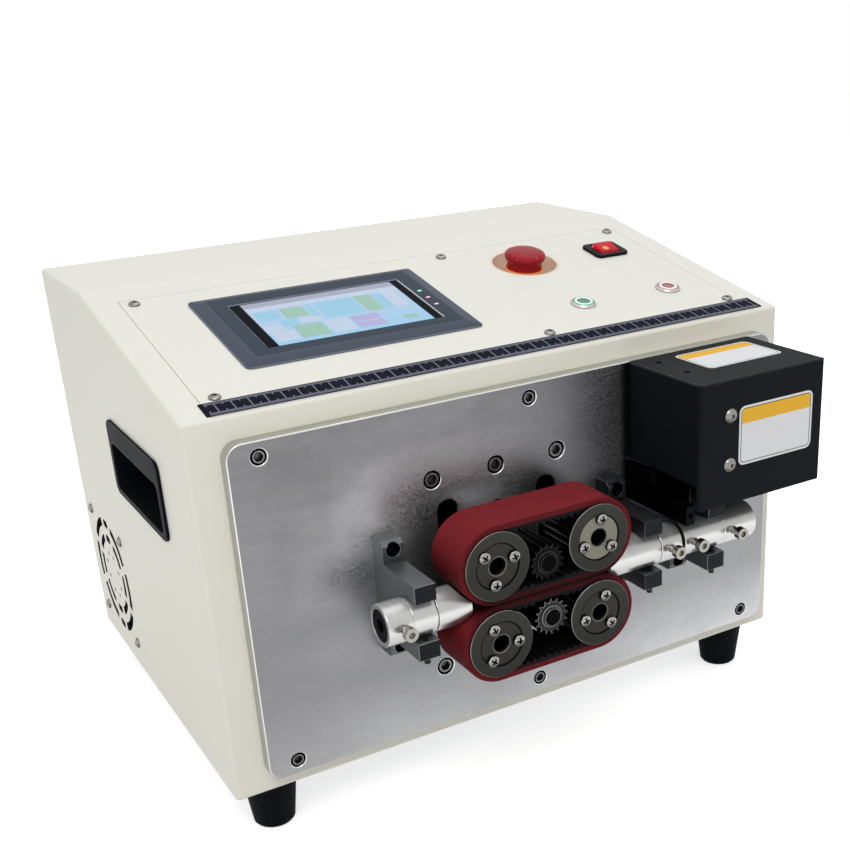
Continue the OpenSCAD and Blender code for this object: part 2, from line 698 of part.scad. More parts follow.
module drive_pinion_lower() { color([0.50, 0.51, 0.53])
    drive_pinion(lower_pinion_z, face_y + 0.3, lower_gear_y, 36); }
module drive_pinion_upper() { color([0.50, 0.51, 0.53])
    drive_pinion(upper_pinion_z, face_y + 3, upper_gear_y, 52); }

// Gear on a motor's shaft, with the shaft's stretch inside the motor
module motor_gear(x, y, z, teeth, turn) {
    at_body() {
        along_y(x, y, z) spur(gear_m, teeth, 8, turn);
        along_y(x, y - 2, z) cylinder(r = shaft_r, h = 30);
    }
}
module motor_gear_lower() {
    color([0.62, 0.60, 0.52]) motor_gear(feed_x, lower_gear_y, lower_pinion_z - feed_dist, motor_teeth, 0);
}
module motor_gear_upper() {
    color([0.62, 0.60, 0.52]) motor_gear(feed_x, upper_gear_y, upper_pinion_z + feed_dist, motor_teeth, 0);
}

// Square stepper motor: end bells, laminated stack, pilot boss, with a bore for its shaft
module stepper(x, y, z, length) {
    along_y(x, y, z) difference() {
        union() {
            linear_extrude(9) round_rect(motor_size - 0.6, motor_size - 0.6, 5);
            translate([0, 0, 9]) linear_extrude(length - 21) round_rect(motor_size - 3, motor_size - 3, 8);
            translate([0, 0, length - 12]) linear_extrude(12)
                round_rect(motor_size - 0.6, motor_size - 0.6, 5);
            translate([motor_size / 2 - 4, -9, length - 10]) cube([8, 18, 8]);
        }
        translate([0, 0, -1]) cylinder(r = shaft_r + 0.06, h = 24);
        for (sx = [-1, 1], sy = [-1, 1]) translate([sx, sy, 0] * 23.57) translate([0, 0, -1])
            cylinder(d = 4.2, h = 10.5);
    }
}
module feed_motor_lower() {
    color([0.13, 0.13, 0.14]) at_body() stepper(feed_x, 36, lower_pinion_z - feed_dist, 62);
}
module feed_motor_upper() {
    color([0.13, 0.13, 0.14]) at_body() stepper(feed_x, 52, upper_pinion_z + feed_dist, 62);
}
module cutter_motor() {
    color([0.13, 0.13, 0.14]) at_body() stepper(cut_pinion_x, 0, cut_pinion_z, 58);
}

// Plate behind the lower wheel, on four posts from the front plate
module lower_motor_plate() {
    mid = lower_pinion_z - feed_dist;
    color([0.60, 0.61, 0.63]) at_body() {
        difference() {
            span([feed_x - 46, 32, 26], [feed_x + 46, 36, lower_pinion_z + 12]);
            along_y(feed_x, 30, lower_pinion_z) cylinder(r = shaft_bore_r, h = 8);
            along_y(feed_x, 30, mid) cylinder(r = 19.2, h = 8);
            for (sx = [-1, 1], sz = [-1, 1]) along_y(feed_x + sx * 23.57, 30, mid + sz * 23.57)
                cylinder(d = 5, h = 8);
        }
        for (sx = [-1, 1], z = [34, 78]) along_y(feed_x + sx * 40, 0, z) cylinder(r = 4, h = 32);
    }
}

// Lift carriage behind the plate: a bored block, four posts and the upper motor's plate
carriage_y = [0.6, 12.6];
rod_dx = 62;
rod_r = 5;
rod_fit = 0.06;
rod_y = 7;
carriage_z = [upper_z - 20, upper_z + 30];
module upper_carriage() {
    mid = upper_pinion_z + feed_dist;
    color([0.60, 0.61, 0.63]) at_body() {
        difference() {
            span([feed_x - rod_dx - 11, carriage_y[0], carriage_z[0]], [feed_x + rod_dx + 11,
                carriage_y[1], carriage_z[1]]);
            for (s = [-1, 1]) translate([feed_x + s * rod_dx, rod_y, 0])
                cylinder(r = rod_r + rod_fit, h = 300);
            for (x = pulley_xs) along_y(x, -1, upper_z) cylinder(r = axle_r + axle_seat, h = 20);
            along_y(feed_x, -1, upper_pinion_z) cylinder(r = shaft_bore_r, h = 20);
        }
        difference() {
            span([feed_x - 46, 48, upper_pinion_z - 12], [feed_x + 46, 52, mid + 31]);
            along_y(feed_x, 40, upper_pinion_z) cylinder(r = shaft_bore_r, h = 20);
            along_y(feed_x, 40, mid) cylinder(r = 19.2, h = 20);
            for (sx = [-1, 1], sz = [-1, 1]) along_y(feed_x + sx * 23.57, 40, mid + sz * 23.57)
                cylinder(d = 5, h = 20);
        }
        for (sx = [-1, 1], z = [carriage_z[0] + 5, carriage_z[1] - 6])
            along_y(feed_x + sx * 40, carriage_y[1], z) cylinder(r = 4, h = 48 - carriage_y[1]);
    }
}

rod_low = 100;
rod_high = 211;
module lift_rods() {
    color([0.70, 0.71, 0.73]) at_body() for (s = [-1, 1]) translate([feed_x + s * rod_dx, 0, 0]) {
        translate([0, rod_y, rod_low]) cylinder(r = rod_r, h = rod_high - rod_low);
        span([-9, 0, rod_low], [9, rod_y + 8, rod_low + 11]);
        span([-9, 0, rod_high - 11], [9, rod_y + 8, rod_high]);
    }
}

// Springs that press the upper unit down: a wire swept round each guide rod
spring_turns = 5;
spring_wire = 0.7;
spring_mid_r = 6;
spring_sides = 6;
spring_rings = 70;
function spring_ring(i, low, high) = let (t = i / spring_rings, a = 360 * spring_turns * t,
        z = low + spring_wire + (high - low - 2 * spring_wire) * t)
    [for (k = [0:spring_sides - 1]) let (b = 360 * k / spring_sides, r = spring_mid_r + spring_wire * cos(b))
        [r * cos(a), r * sin(a), z + spring_wire * sin(b)]];
module spring(low, high) {
    n = spring_sides;
    points = [for (i = [0:spring_rings]) each spring_ring(i, low, high)];
    sides = [for (i = [0:spring_rings - 1], k = [0:n - 1]) let (a = i * n + k, b = i * n + (k + 1) % n)
        each [[a, a + n, b], [b, a + n, b + n]]];
    polyhedron(points, concat(sides, [[for (k = [0:n - 1]) k]],
        [[for (k = [n - 1:-1:0]) spring_rings * n + k]]));
}
module lift_springs() {
    color([0.60, 0.62, 0.64]) at_body() for (s = [-1, 1])
        translate([feed_x + s * rod_dx, rod_y, 0]) spring(carriage_z[1] + 0.1, rod_high - 11.1);
}

// Guides

// Claw bracket: a block screwed to the plate with two arms that hold the guide between them
module claw(x) {
    along_x(x - bracket_w / 2, 0, tube_z) linear_extrude(bracket_w) difference() {
        polygon([[-bracket_top, -plate_t], [bracket_top, -plate_t], [bracket_top, -21.5],
            [bracket_top - 3, ear_y], [arm_out, ear_y], [arm_out, arm_y], [arm_in, arm_y], [arm_in, -tube_y],
            [guide_r, -tube_y], [-guide_r, -tube_y], [-arm_in, -tube_y], [-arm_in, arm_y], [-arm_out, arm_y],
            [-arm_out, ear_y], [3 - bracket_top, ear_y], [-bracket_top, -21.5]]);
        translate([0, -tube_y]) circle(guide_r);
    }
}
module bracket_holes(x) {
    for (z = [-ear_hole, ear_hole]) {
        along_y(x, -40, tube_z + z) cylinder(d = 5.3, h = 40);
        along_y(x, -40, tube_z + z) cylinder(d = 9.4, h = 40 + ear_seat_y);
    }
    translate([x, arm_screw_y, tube_z - arm_out - 1]) cylinder(d = 4, h = arm_out - arm_in + 2);
}
module left_bracket() {
    color([0.36, 0.37, 0.39]) at_body() difference() {
        claw(bracket_xs[0]);
        bracket_holes(bracket_xs[0]);
    }
}
// Both right brackets, with the bar beside the blade that steadies it
steady_x = [76.5, 83.1];
module right_brackets() {
    color([0.19, 0.20, 0.22]) at_body() difference() {
        union() {
            claw(bracket_xs[1]);
            claw(bracket_xs[2]);
            span([steady_x[0], -76, 139], [steady_x[1], -plate_t, 152]);
            span([steady_x[0], -30, 151], [steady_x[1], -plate_t, 164]);
        }
        bracket_holes(bracket_xs[1]);
        bracket_holes(bracket_xs[2]);
        along_y((steady_x[0] + steady_x[1]) / 2, -77, 145.5) cylinder(d = 3.4, h = 13);
    }
}

// Guide tube end: full bore, with its nose cut to follow both belts
module guide_nose(x0, x1, pulley_at) {
    difference() {
        sleeve(x0, x1, guide_r, guide_bore_r);
        for (z = [lower_z, upper_z]) along_y(pulley_at, -100, z) cylinder(r = belt_r + 1.1, h = 100);
    }
}
nose_reach = [15, 12.6];
left_joint_x = bracket_xs[0] + bracket_w / 2 + 0.9;
right_joint_x = bracket_xs[1] + bracket_w / 2;
module left_guide_tube() {
    color([0.78, 0.79, 0.80]) at_body() guide_nose(left_joint_x, pulley_xs[0] - nose_reach[0], pulley_xs[0]);
}
module right_guide_tube() {
    color([0.78, 0.79, 0.80]) at_body() guide_nose(pulley_xs[1] + nose_reach[1], right_joint_x, pulley_xs[1]);
}

module sleeve(x0, x1, r, bore) {
    c = 0.4;
    along_x(x0, -tube_y, tube_z) rotate_extrude()
        polygon([[bore, 0], [r - c, 0], [r, c], [r, x1 - x0 - c], [r - c, x1 - x0], [bore, x1 - x0]]);
}
// Collars and middle tubes along the line, with the black bush in the left end
end_x = 146;
module guide_collars() {
    color([0.80, 0.81, 0.82]) at_body() {
        difference() {
            union() {
                sleeve(-130.7, -114.2, 13.3, 4.6);
                sleeve(-114.2, left_joint_x - 0.1, guide_r - 0.1, guide_bore_r);
            }
            along_x(-131, -tube_y, tube_z) cylinder(r = 10.4, h = 14);
            guide_screw_hole(guide_screw_xs[0]);
        }
        sleeve(-130.3, -117.2, 10.3, 4.2);
        difference() {
            sleeve(right_joint_x + 0.1, blade_x - 1.1, guide_r, guide_bore_r);
            guide_screw_hole(guide_screw_xs[1]);
        }
        difference() {
            union() {
                sleeve(blade_x + 1.1, 118.9, guide_r, guide_bore_r);
                sleeve(118.9, end_x, guide_r, guide_bore_r);
            }
            guide_screw_hole(guide_screw_xs[2]);
            guide_screw_hole(guide_screw_xs[3]);
        }
    }
}
module guide_screw_hole(x) { along_y(x, -tube_y - 20, tube_z) cylinder(d = 5, h = 20); }

module guide_screws() {
    color([0.56, 0.55, 0.52]) at_body() {
        for (x = guide_screw_xs) translate([x, -tube_y - guide_screw_reach, tube_z]) rotate([90, 0, 0])
            socket_screw(5, 7, 5);
        for (x = bracket_xs, z = [-ear_hole, ear_hole]) translate([x, ear_seat_y, tube_z + z])
            rotate([90, 0, 0])
            socket_screw(5, 14, 5);
        for (x = bracket_xs) translate([x, arm_screw_y, tube_z - arm_out - 4.5]) cylinder(d = 3.9, h = 14.5);
    }
}

// Cutter

rail_z = [159.5, 228];
module slide_rail() {
    color([0.72, 0.73, 0.74]) at_body() difference() {
        span([98, -plate_t - 8, rail_z[0]], [110, -plate_t, rail_z[1]]);
        for (x = [98, 110]) span([x - 1.2, -plate_t - 5.2, rail_z[0] - 1], [x + 1.2, -plate_t - 3.2,
            rail_z[1] + 1]);
        for (z = [172, 194, 216]) along_y(104, -plate_t - 9, z) cylinder(d = 6, h = 5.5);
    }
}

slide_z = [176, 224];
holder_low = 162;
module blade_carriage() {
    color([0.24, 0.25, 0.27]) at_body() {
        difference() {
            span([90.5, slide_y[1], 189], [117.5, -plate_t - 2.6, 223]);
            span([97.7, -plate_t - 8.3, 180], [110.3, 0, 230]);
        }
        span([86, slide_y[0], slide_z[0]], [rack_x - 4, slide_y[1], slide_z[1]]);
        // Rack, with a gap at the pinion's height
        translate([rack_x, slide_y[0], 0]) rotate([-90, 0, 0]) linear_extrude(slide_y[1] - slide_y[0]) {
            translate([-4.5, -slide_z[1]]) square([2.7, slide_z[1] - slide_z[0]]);
            for (i = [-2:6]) translate([0, -cut_pinion_z - (i + 0.5) * PI * gear_m])
                polygon([[-2, -1.9], [0, -1.1], [1.4, -0.62], [1.4, 0.62], [0, 1.1], [-2, 1.9]]);
        }
        difference() {
            span([blade_x + blade_t / 2, -tube_y - 20, holder_low], [blade_x + blade_t / 2 + 8,
                slide_y[1], 196]);
            span([blade_x + 4, -tube_y - 8, holder_low + 7], [blade_x + 10, -tube_y + 8, 184]);
            for (y = [-13, 13]) along_x(blade_x, -tube_y + y, 169) cylinder(d = 4, h = 10);
        }
    }
}

blade_edge = 138.5;
module blade() {
    color([0.80, 0.81, 0.83]) at_body() difference() {
        translate([blade_x + blade_t / 2, 0, 0]) rotate([0, -90, 0]) linear_extrude(blade_t)
            polygon([[blade_edge, -tube_y - 10], [blade_edge + 2, -tube_y - 18], [178, -tube_y - 18],
                [178, -tube_y + 18], [blade_edge + 8, -tube_y + 18], [blade_edge, -tube_y - 4]]);
        for (y = [-13, 13]) along_x(blade_x - 2, -tube_y + y, 169) cylinder(d = 4.2, h = 4);
        translate([blade_x, 0, blade_edge]) for (s = [-1, 1]) translate([s * blade_t / 2, -100, 0])
            rotate([0, s * 12, 0])
            translate([s > 0 ? 0 : -2, 0, -1]) cube([2, 100, 3]);
    }
}

module cutter_pinion() {
    color([0.62, 0.60, 0.52]) at_body() {
        along_y(cut_pinion_x, slide_y[0], cut_pinion_z) spur(gear_m, cut_teeth, slide_y[1] - slide_y[0]);
        along_y(cut_pinion_x, slide_y[0] - 3, cut_pinion_z) cylinder(r = shaft_r, h = 20 - slide_y[0]);
    }
}

// Bracket inside the cover that its front screws go into
module cover_bracket() {
    color([0.30, 0.31, 0.33]) at_body() difference() {
        union() {
            span([97, -cover_y + sheet, 166], [173, -cover_y + sheet + 3, 218]);
            span([170, -cover_y + sheet, 166], [173, -plate_t, 218]);
            span([160, -plate_t - 3, 166], [173, -plate_t, 218]);
        }
        for (z = cover_screw_zs) along_y(cover_screw_x, -cover_y, z) cylinder(d = 5.1, h = 12);
    }
}

cover_right = cover_x + cover_w;
side_low = 167;
cover_bend = 2.5;
module cover_block(inset, low, high, r) {
    mid = [(cover_x + cover_right) / 2, -(cover_y + plate_t) / 2];
    translate([mid[0], mid[1], low]) linear_extrude(high - low)
        round_rect(cover_w - 2 * inset, cover_y - plate_t - 2 * inset, r);
}
module blade_cover() {
    color([0.13, 0.14, 0.16]) at_body() difference() {
        cover_block(0, cover_low, cover_top, cover_bend);
        cover_block(sheet, cover_low - 1, cover_top - sheet, cover_bend - 1);
        span([cover_x + sheet, -cover_y + sheet, cover_low - 1], [cover_right - sheet, -plate_t + 1,
            cover_top - sheet]);
        span([cover_x - 1, -cover_y + sheet + 1, cover_low - 1], [cover_x + 3, -plate_t + 1, side_low]);
        for (z = cover_screw_zs) along_y(cover_screw_x, -cover_y - 1, z) cylinder(d = 5.2, h = 5);
        for (y = [-25, -54]) translate([93, y, cover_top - 4]) cylinder(d = 4, h = 6);
    }
}

// Electrics

// Power supply in its cage, and the control board on four pillars
module electronics() {
    color([0.34, 0.42, 0.40]) at_body() difference() {
        span([-205, 75, 4.2], [-95, 190, 54]);
        for (x = [-198:9:-102]) span([x, 90, 53], [x + 5, 160, 56]);
        span([-200, 70, 14], [-100, 88, 60]);
    }
    color([0.34, 0.42, 0.40]) at_body() {
        span([40, 130, 10], [180, 230, 11.6]);
        for (x = [46, 174], y = [136, 224]) translate([x, y, 4.2]) cylinder(r = 3, h = 6.5);
        for (x = [50, 86, 122]) span([x, 140, 11.5], [x + 30, 176, 30]);
        for (x = [50:16:160]) span([x, 214, 11.5], [x + 12, 224, 20]);
    }
}

// Mains inlet with its flange, socket hollow and three flat pins
module power_inlet() {
    color([0.07, 0.07, 0.08]) at_body() translate([inlet_at[0], body_d, inlet_at[1]]) rotate([90, 0, 180])
        mirror([1, 0, 0]) {
        difference() {
            union() {
                linear_extrude(inlet_proud) round_rect(50, 58, 3);
                translate([0, 0, -28]) linear_extrude(28 + eps) round_rect(28, 48, 1.4);
            }
            translate([0, 8, -18]) linear_extrude(30) round_rect(24.5, 17, 4);
            translate([0, -15, -3]) linear_extrude(10) square([22, 9], center = true);
            for (x = [-20, 20]) translate([x, 0, -1]) cylinder(d = 3.5, h = 5);
        }
        for (p = [[-7, 6], [0, 11], [7, 6]]) translate([p[0], p[1] - 1, -19]) linear_extrude(14)
            square([2, 4], center = true);
        translate([0, -15, -4]) linear_extrude(5.5) square([21.4, 8.4], center = true);
    }
}

housing_shell();
base_plate();
rear_panel();
front_plate();
slope_panel();
case_screws();
plate_screws();
hmi_bezel();
hmi_screen();
ruler_strip();
estop_well();
estop_collar();
rocker_frame();
button_rings();
side_handles();
fan_frame();
feet();
lower_belt();
lower_axles();
lower_motor_plate();
feed_motor_lower();
lift_rods();
lift_springs();
cutter_motor();
slide_rail();
blade_cover();
cover_bracket();
left_bracket();
right_brackets();
guide_screws();
left_guide_tube();
right_guide_tube();
guide_collars();
electronics();
power_inlet();
upper_carriage();
upper_axles();
upper_belt();
feed_motor_upper();
pulley_lower_left();
pulley_lower_right();
pulley_upper_left();
pulley_upper_right();
cap_lower_left();
cap_lower_right();
cap_upper_left();
cap_upper_right();
drive_pinion_lower();
drive_pinion_upper();
motor_gear_lower();
motor_gear_upper();
blade();
blade_carriage();
cutter_pinion();
estop_plunger();
estop_head();
rocker();
start_button();
stop_button();
fan_impeller();
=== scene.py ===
"""Dresses the tube cutting machine's solids with finishes, broken edges and markings, and lights it."""
import json
import math

import bmesh
import bpy
from mathutils import Matrix, Vector

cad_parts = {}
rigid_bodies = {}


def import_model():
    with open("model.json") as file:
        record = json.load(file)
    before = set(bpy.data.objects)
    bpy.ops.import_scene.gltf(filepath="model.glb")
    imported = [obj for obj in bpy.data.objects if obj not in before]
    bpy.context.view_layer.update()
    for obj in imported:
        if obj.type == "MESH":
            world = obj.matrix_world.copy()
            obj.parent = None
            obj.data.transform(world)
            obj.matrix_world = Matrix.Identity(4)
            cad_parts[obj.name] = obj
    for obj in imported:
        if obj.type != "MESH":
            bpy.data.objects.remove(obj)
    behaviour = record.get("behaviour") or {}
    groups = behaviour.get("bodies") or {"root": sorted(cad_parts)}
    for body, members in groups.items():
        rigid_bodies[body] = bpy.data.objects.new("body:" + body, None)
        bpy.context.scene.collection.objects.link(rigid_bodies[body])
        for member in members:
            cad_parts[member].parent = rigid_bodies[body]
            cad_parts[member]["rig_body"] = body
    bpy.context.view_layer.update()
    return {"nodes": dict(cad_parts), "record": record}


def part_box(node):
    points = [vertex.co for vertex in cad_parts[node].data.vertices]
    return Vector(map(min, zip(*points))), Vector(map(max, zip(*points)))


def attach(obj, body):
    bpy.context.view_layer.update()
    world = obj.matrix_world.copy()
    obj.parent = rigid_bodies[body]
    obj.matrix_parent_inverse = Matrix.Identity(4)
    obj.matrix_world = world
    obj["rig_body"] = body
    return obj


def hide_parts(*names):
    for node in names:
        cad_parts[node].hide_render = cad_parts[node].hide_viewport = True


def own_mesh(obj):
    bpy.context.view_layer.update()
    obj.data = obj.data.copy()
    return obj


MM = 0.001
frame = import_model()
nodes = frame["nodes"]

# The machine's layout in the frame, in metres, as its solids have it
PLATE_LOW, PLATE_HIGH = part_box("front_plate")
COVER_LOW, COVER_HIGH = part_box("blade_cover")
FRONT_Y = PLATE_HIGH.y
BODY_Z = 34 * MM
FRONT_H = 247 * MM
BODY_H = 288 * MM
SLOPE = math.atan2(BODY_H - FRONT_H, 200.5 * MM)
TUBE_Y = FRONT_Y - 51.5 * MM
TUBE_Z = BODY_Z + 120 * MM
FEED_X = -23.5 * MM
BELT_HALF = 36.25 * MM
LOWER_Z = TUBE_Z - 25.8 * MM
UPPER_Z = TUBE_Z + 25.8 * MM
WHEEL_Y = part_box("pulley_lower_left")[0].y
EAR_Y = FRONT_Y - 24.3 * MM
ARM_END_Y = FRONT_Y - 64.4 * MM
EAR_UP = 32.6 * MM
BELT_BACK_R = 21.9 * MM
FAN_AT, FAN_R = (0.0, FRONT_Y + 250 * MM, BODY_Z + 64.6 * MM), 50 * MM
LEFT_WALL_X = (-215.9 * MM, -213.9 * MM)
# In mm: radii of the caps, the axles and the circle of the caps' screws, and places on the sloped panel
CAP_R, AXLE_R, SPOT_R = 14.6, 6.0, 11.9
ROCKER_AT, ESTOP_AT = (162.5, 136.8), (91.7, 138.7)
WELL_FLOOR = -14.0
LIT = (-128.4, -20.0, 69.5, 137.6)


def on_slope(x, s, h=0.0):
    """Point in metres for places in mm: x across, s up the slope from its front edge, h out of it."""
    s, h = s * MM, h * MM
    return Vector((x * MM, FRONT_Y + s * math.cos(SLOPE) - h * math.sin(SLOPE),
                   BODY_Z + FRONT_H + s * math.sin(SLOPE) + h * math.cos(SLOPE)))


def chart(r, g, b):
    """Linear colour for the 0 to 255 values that a paint chart gives."""
    return tuple(((c / 255 + 0.055) / 1.055) ** 2.4 if c > 10 else c / 255 / 12.92 for c in (r, g, b))


# Shader building blocks


class Value:
    """What a socket gives; arithmetic and comparisons with it add math nodes to its tree."""

    def __init__(self, socket):
        self.socket = socket
        self.tree = socket.id_data

    def __add__(self, other):
        return calc("ADD", self, other)

    def __sub__(self, other):
        return calc("SUBTRACT", self, other)

    def __rsub__(self, other):
        return calc("SUBTRACT", other, self)

    def __mul__(self, other):
        return calc("MULTIPLY", self, other)

    def __truediv__(self, other):
        return calc("DIVIDE", self, other)

    def __lt__(self, other):
        return calc("LESS_THAN", self, other)

    def __gt__(self, other):
        return calc("GREATER_THAN", self, other)


def put(socket, value):
    if isinstance(value, Value):
        value.tree.links.new(value.socket, socket)
    else:
        socket.default_value = (*value, 1.0) if socket.type == "RGBA" and len(value) == 3 else value


def put_all(sockets, values):
    for key, value in values.items():
        put(sockets[key.replace("_", " ")], value)


def add(tree, kind, *inputs, output=0, **settings):
    """New node with inputs set in order; a keyword is a property or, with capitals, an input's name."""
    node = tree.nodes.new(kind)
    named = {key: value for key, value in settings.items() if key[0].isupper()}
    for key, value in settings.items():
        if key not in named:
            setattr(node, key, value)
    for socket, value in zip(node.inputs, inputs):
        if value is not None:
            put(socket, value)
    put_all(node.inputs, named)
    return [Value(socket) for socket in node.outputs] if output is None else Value(node.outputs[output])


def tree_of(*values):
    return next(value.tree for value in values if isinstance(value, Value))


def calc(operation, a, b=0.5, clamp=False):
    return add(tree_of(a, b), "ShaderNodeMath", a, b, operation=operation, use_clamp=clamp)


def most(a, b):
    return calc("MAXIMUM", a, b)


def between(value, low, high):
    return (value > low) * (value < high)


def vector(operation, a, b=None, output=0, **named):
    tree = tree_of(a, b, *named.values())
    return add(tree, "ShaderNodeVectorMath", a, b, operation=operation, output=output, **named)


def split(value):
    return add(value.tree, "ShaderNodeSeparateXYZ", value, output=None)


def ramp(value, low, high, first=0.0, last=1.0):
    """Value rescaled from low..high to first..last and held there."""
    return add(value.tree, "ShaderNodeMapRange", value, low, high, first, last)


def mix(factor, a, b):
    unused = [None] * 5
    return add(factor.tree, "ShaderNodeMix", factor, *unused, a, b, data_type="RGBA", output=2)


def noise(place, scale, detail=3.0, rough=0.55, stretch=None):
    """Noise over the object's own coordinates, with its grain drawn out where stretch is below 1."""
    if stretch:
        place = vector("MULTIPLY", place, stretch)
    return add(place.tree, "ShaderNodeTexNoise", Vector=place, Scale=scale, Detail=detail, Roughness=rough)


def tinted(color, tone):
    if isinstance(color, Value) or isinstance(tone, Value):
        return vector("SCALE", color, Scale=tone)
    return tuple(channel * tone for channel in color)


def from_line(place, keep, centre):
    """Distance from a line through centre; keep is 1 for the two axes across the line."""
    kept = tuple(a * b for a, b in zip(keep, centre))
    return vector("DISTANCE", vector("MULTIPLY", place, keep), kept, output="Value")


def normal_of(place):
    return split(add(place.tree, "ShaderNodeTexCoord", output="Normal"))


def light_from_above(place, low, high, first, last=1.0):
    """Tone by how far the surface looks up: painted light and shade that follow how the surface faces."""
    return ramp(normal_of(place)[2], low, high, first, last)


def new_group(name, inputs, outputs):
    """Node group with the named sockets, numbers and vectors by their defaults; returns it with both ends."""
    group = bpy.data.node_groups.new(name, "ShaderNodeTree")
    for title, value in inputs.items():
        kind = value if isinstance(value, str) else NUMBER if isinstance(value, float) else VECTOR
        socket = group.interface.new_socket(title.replace("_", " "), in_out="INPUT", socket_type=kind)
        if kind != value:
            socket.default_value = value
    for title, kind in outputs.items():
        group.interface.new_socket(title, in_out="OUTPUT", socket_type=kind)
    given = {socket.name: Value(socket) for socket in group.nodes.new("NodeGroupInput").outputs}
    return group, given, group.nodes.new("NodeGroupOutput").inputs


NUMBER, VECTOR, COLOR = "NodeSocketFloat", "NodeSocketVector", "NodeSocketColor"
SKIN = dict(Color=COLOR, Roughness=NUMBER, Height=NUMBER)
RECTANGLE = dict(Across=0.0, Up=0.0, Left=0.0, Right=1.0, Low=0.0, High=1.0)
SIDES = (("Across", "Left", "Right"), ("Up", "Low", "High"))


def build_mottle():
    """Uneven tone, stray specks and a fine skin, as powder coat, moulded plastic and rubber have."""
    group, given, out = new_group("mottled_skin", dict(
        Place=VECTOR, Color=COLOR, Patch_Size=12.0, Patch_Strength=0.05, Grain_Size=900.0, Speck_Amount=0.0,
        Roughness=0.5), SKIN)
    place = given["Place"]
    centred = noise(place, given["Patch Size"], 4.0) - 0.5
    distance, cell_color = add(group, "ShaderNodeTexVoronoi", Vector=place, Scale=42.0, output=None)[:2]
    speck = (distance < 0.014) * (split(cell_color)[0] > 0.72) * given["Speck Amount"]
    tone = centred * given["Patch Strength"] + 1.0
    roughness = calc("ADD", given["Roughness"], centred * 0.16, clamp=True)
    grain = noise(place, given["Grain Size"], 2.0)
    put_all(out, dict(Color=tinted(given["Color"], tone - speck), Roughness=roughness, Height=grain))
    return group


def build_brushed():
    """Long fine scratches along one axis with cloudy tone, as brushed or turned metal has."""
    group, given, out = new_group("brushed_metal", dict(
        Place=VECTOR, Color=COLOR, Stretch=(1.0, 1.0, 1.0), Line_Size=900.0, Contrast=0.3, Cloud=0.1,
        Roughness=0.35), SKIN)
    lines = noise(given["Place"], given["Line Size"], stretch=given["Stretch"])
    line_swing = (lines - 0.5) * given["Contrast"]
    cloud_swing = (noise(given["Place"], 11.0) - 0.5) * given["Cloud"]
    roughness = calc("ADD", given["Roughness"], line_swing, clamp=True)
    color = tinted(given["Color"], line_swing + cloud_swing + 1.0)
    put_all(out, dict(Color=color, Roughness=roughness, Height=lines))
    return group


def build_rubbed_and_lit_edge():
    """Mask of arrises where the surface bends sharply outward, lighter as rubbed steel and as a painted
    highlight.
    """
    group, given, out = new_group("rubbed_and_lit_edge", dict(Place=VECTOR, Amount=0.5), dict(Mask=NUMBER))
    bend = ramp(add(group, "ShaderNodeNewGeometry", output="Pointiness"), 0.52, 0.6)
    patchy = ramp(noise(given["Place"], 160.0), 0.3, 0.65, 0.35, 1.0)
    put(out["Mask"], calc("MULTIPLY", bend * patchy, given["Amount"], clamp=True))
    return group


def build_slope_place():
    """Millimetres across, up and out of the sloped panel."""
    outputs = dict(Across=NUMBER, Up=NUMBER, Out=NUMBER)
    group, given, out = new_group("slope_place", dict(Place=VECTOR), outputs)
    from_edge = vector("SUBTRACT", given["Place"], tuple(on_slope(0, 0)))
    cosine, sine = math.cos(SLOPE) / MM, math.sin(SLOPE) / MM
    for title, axis in {"Across": (1 / MM, 0, 0), "Up": (0, cosine, sine), "Out": (0, -sine, cosine)}.items():
        put(out[title], vector("DOT_PRODUCT", from_edge, axis, output="Value"))
    return group


def build_patch():
    """Mask of a rectangle with soft edges in two coordinates."""
    group, given, out = new_group("patch_mask", dict(RECTANGLE, Soft=0.1), dict(Mask=NUMBER))
    mask = None
    for value, start, end in SIDES:
        for gap in (given[value] - given[start], given[end] - given[value]):
            side = calc("ADD", gap / given["Soft"], 0.5, clamp=True)
            mask = mask * side if mask else side
    put(out["Mask"], mask)
    return group


def build_rounded():
    """Mask of a rectangle with round corners in two coordinates."""
    group, given, out = new_group("rounded_mask", dict(RECTANGLE, Corner=1.0), dict(Mask=NUMBER))
    beyond = []
    for value, start, end in SIDES:
        away = calc("ABSOLUTE", given[value] - (given[start] + given[end]) * 0.5)
        beyond.append(most(away - ((given[end] - given[start]) * 0.5 - given["Corner"]), 0.0))
    corner = vector("LENGTH", add(group, "ShaderNodeCombineXYZ", *beyond), output="Value")
    put(out["Mask"], corner < given["Corner"])
    return group


MOTTLE, BRUSHED, RUBBED_AND_LIT = build_mottle(), build_brushed(), build_rubbed_and_lit_edge()
SLOPE_PLACE, PATCH, ROUNDED = build_slope_place(), build_patch(), build_rounded()


def use(group, **values):
    """A node group placed in a material with its own values; returns its outputs by name."""
    node = tree_of(*values.values()).nodes.new("ShaderNodeGroup")
    node.node_tree = group
    put_all(node.inputs, values)
    return {socket.name: Value(socket) for socket in node.outputs}


def patch(across, up, left, right, low, high, soft):
    return use(PATCH, Across=across, Up=up, Left=left, Right=right, Low=low, High=high, Soft=soft)["Mask"]


def on_panel(place):
    return list(use(SLOPE_PLACE, Place=place).values())


def from_point(across, up, centre):
    """Millimetres from a point of the sloped panel."""
    flat = add(across.tree, "ShaderNodeCombineXYZ", across, up)
    return vector("DISTANCE", flat, (*centre, 0.0), output="Value")


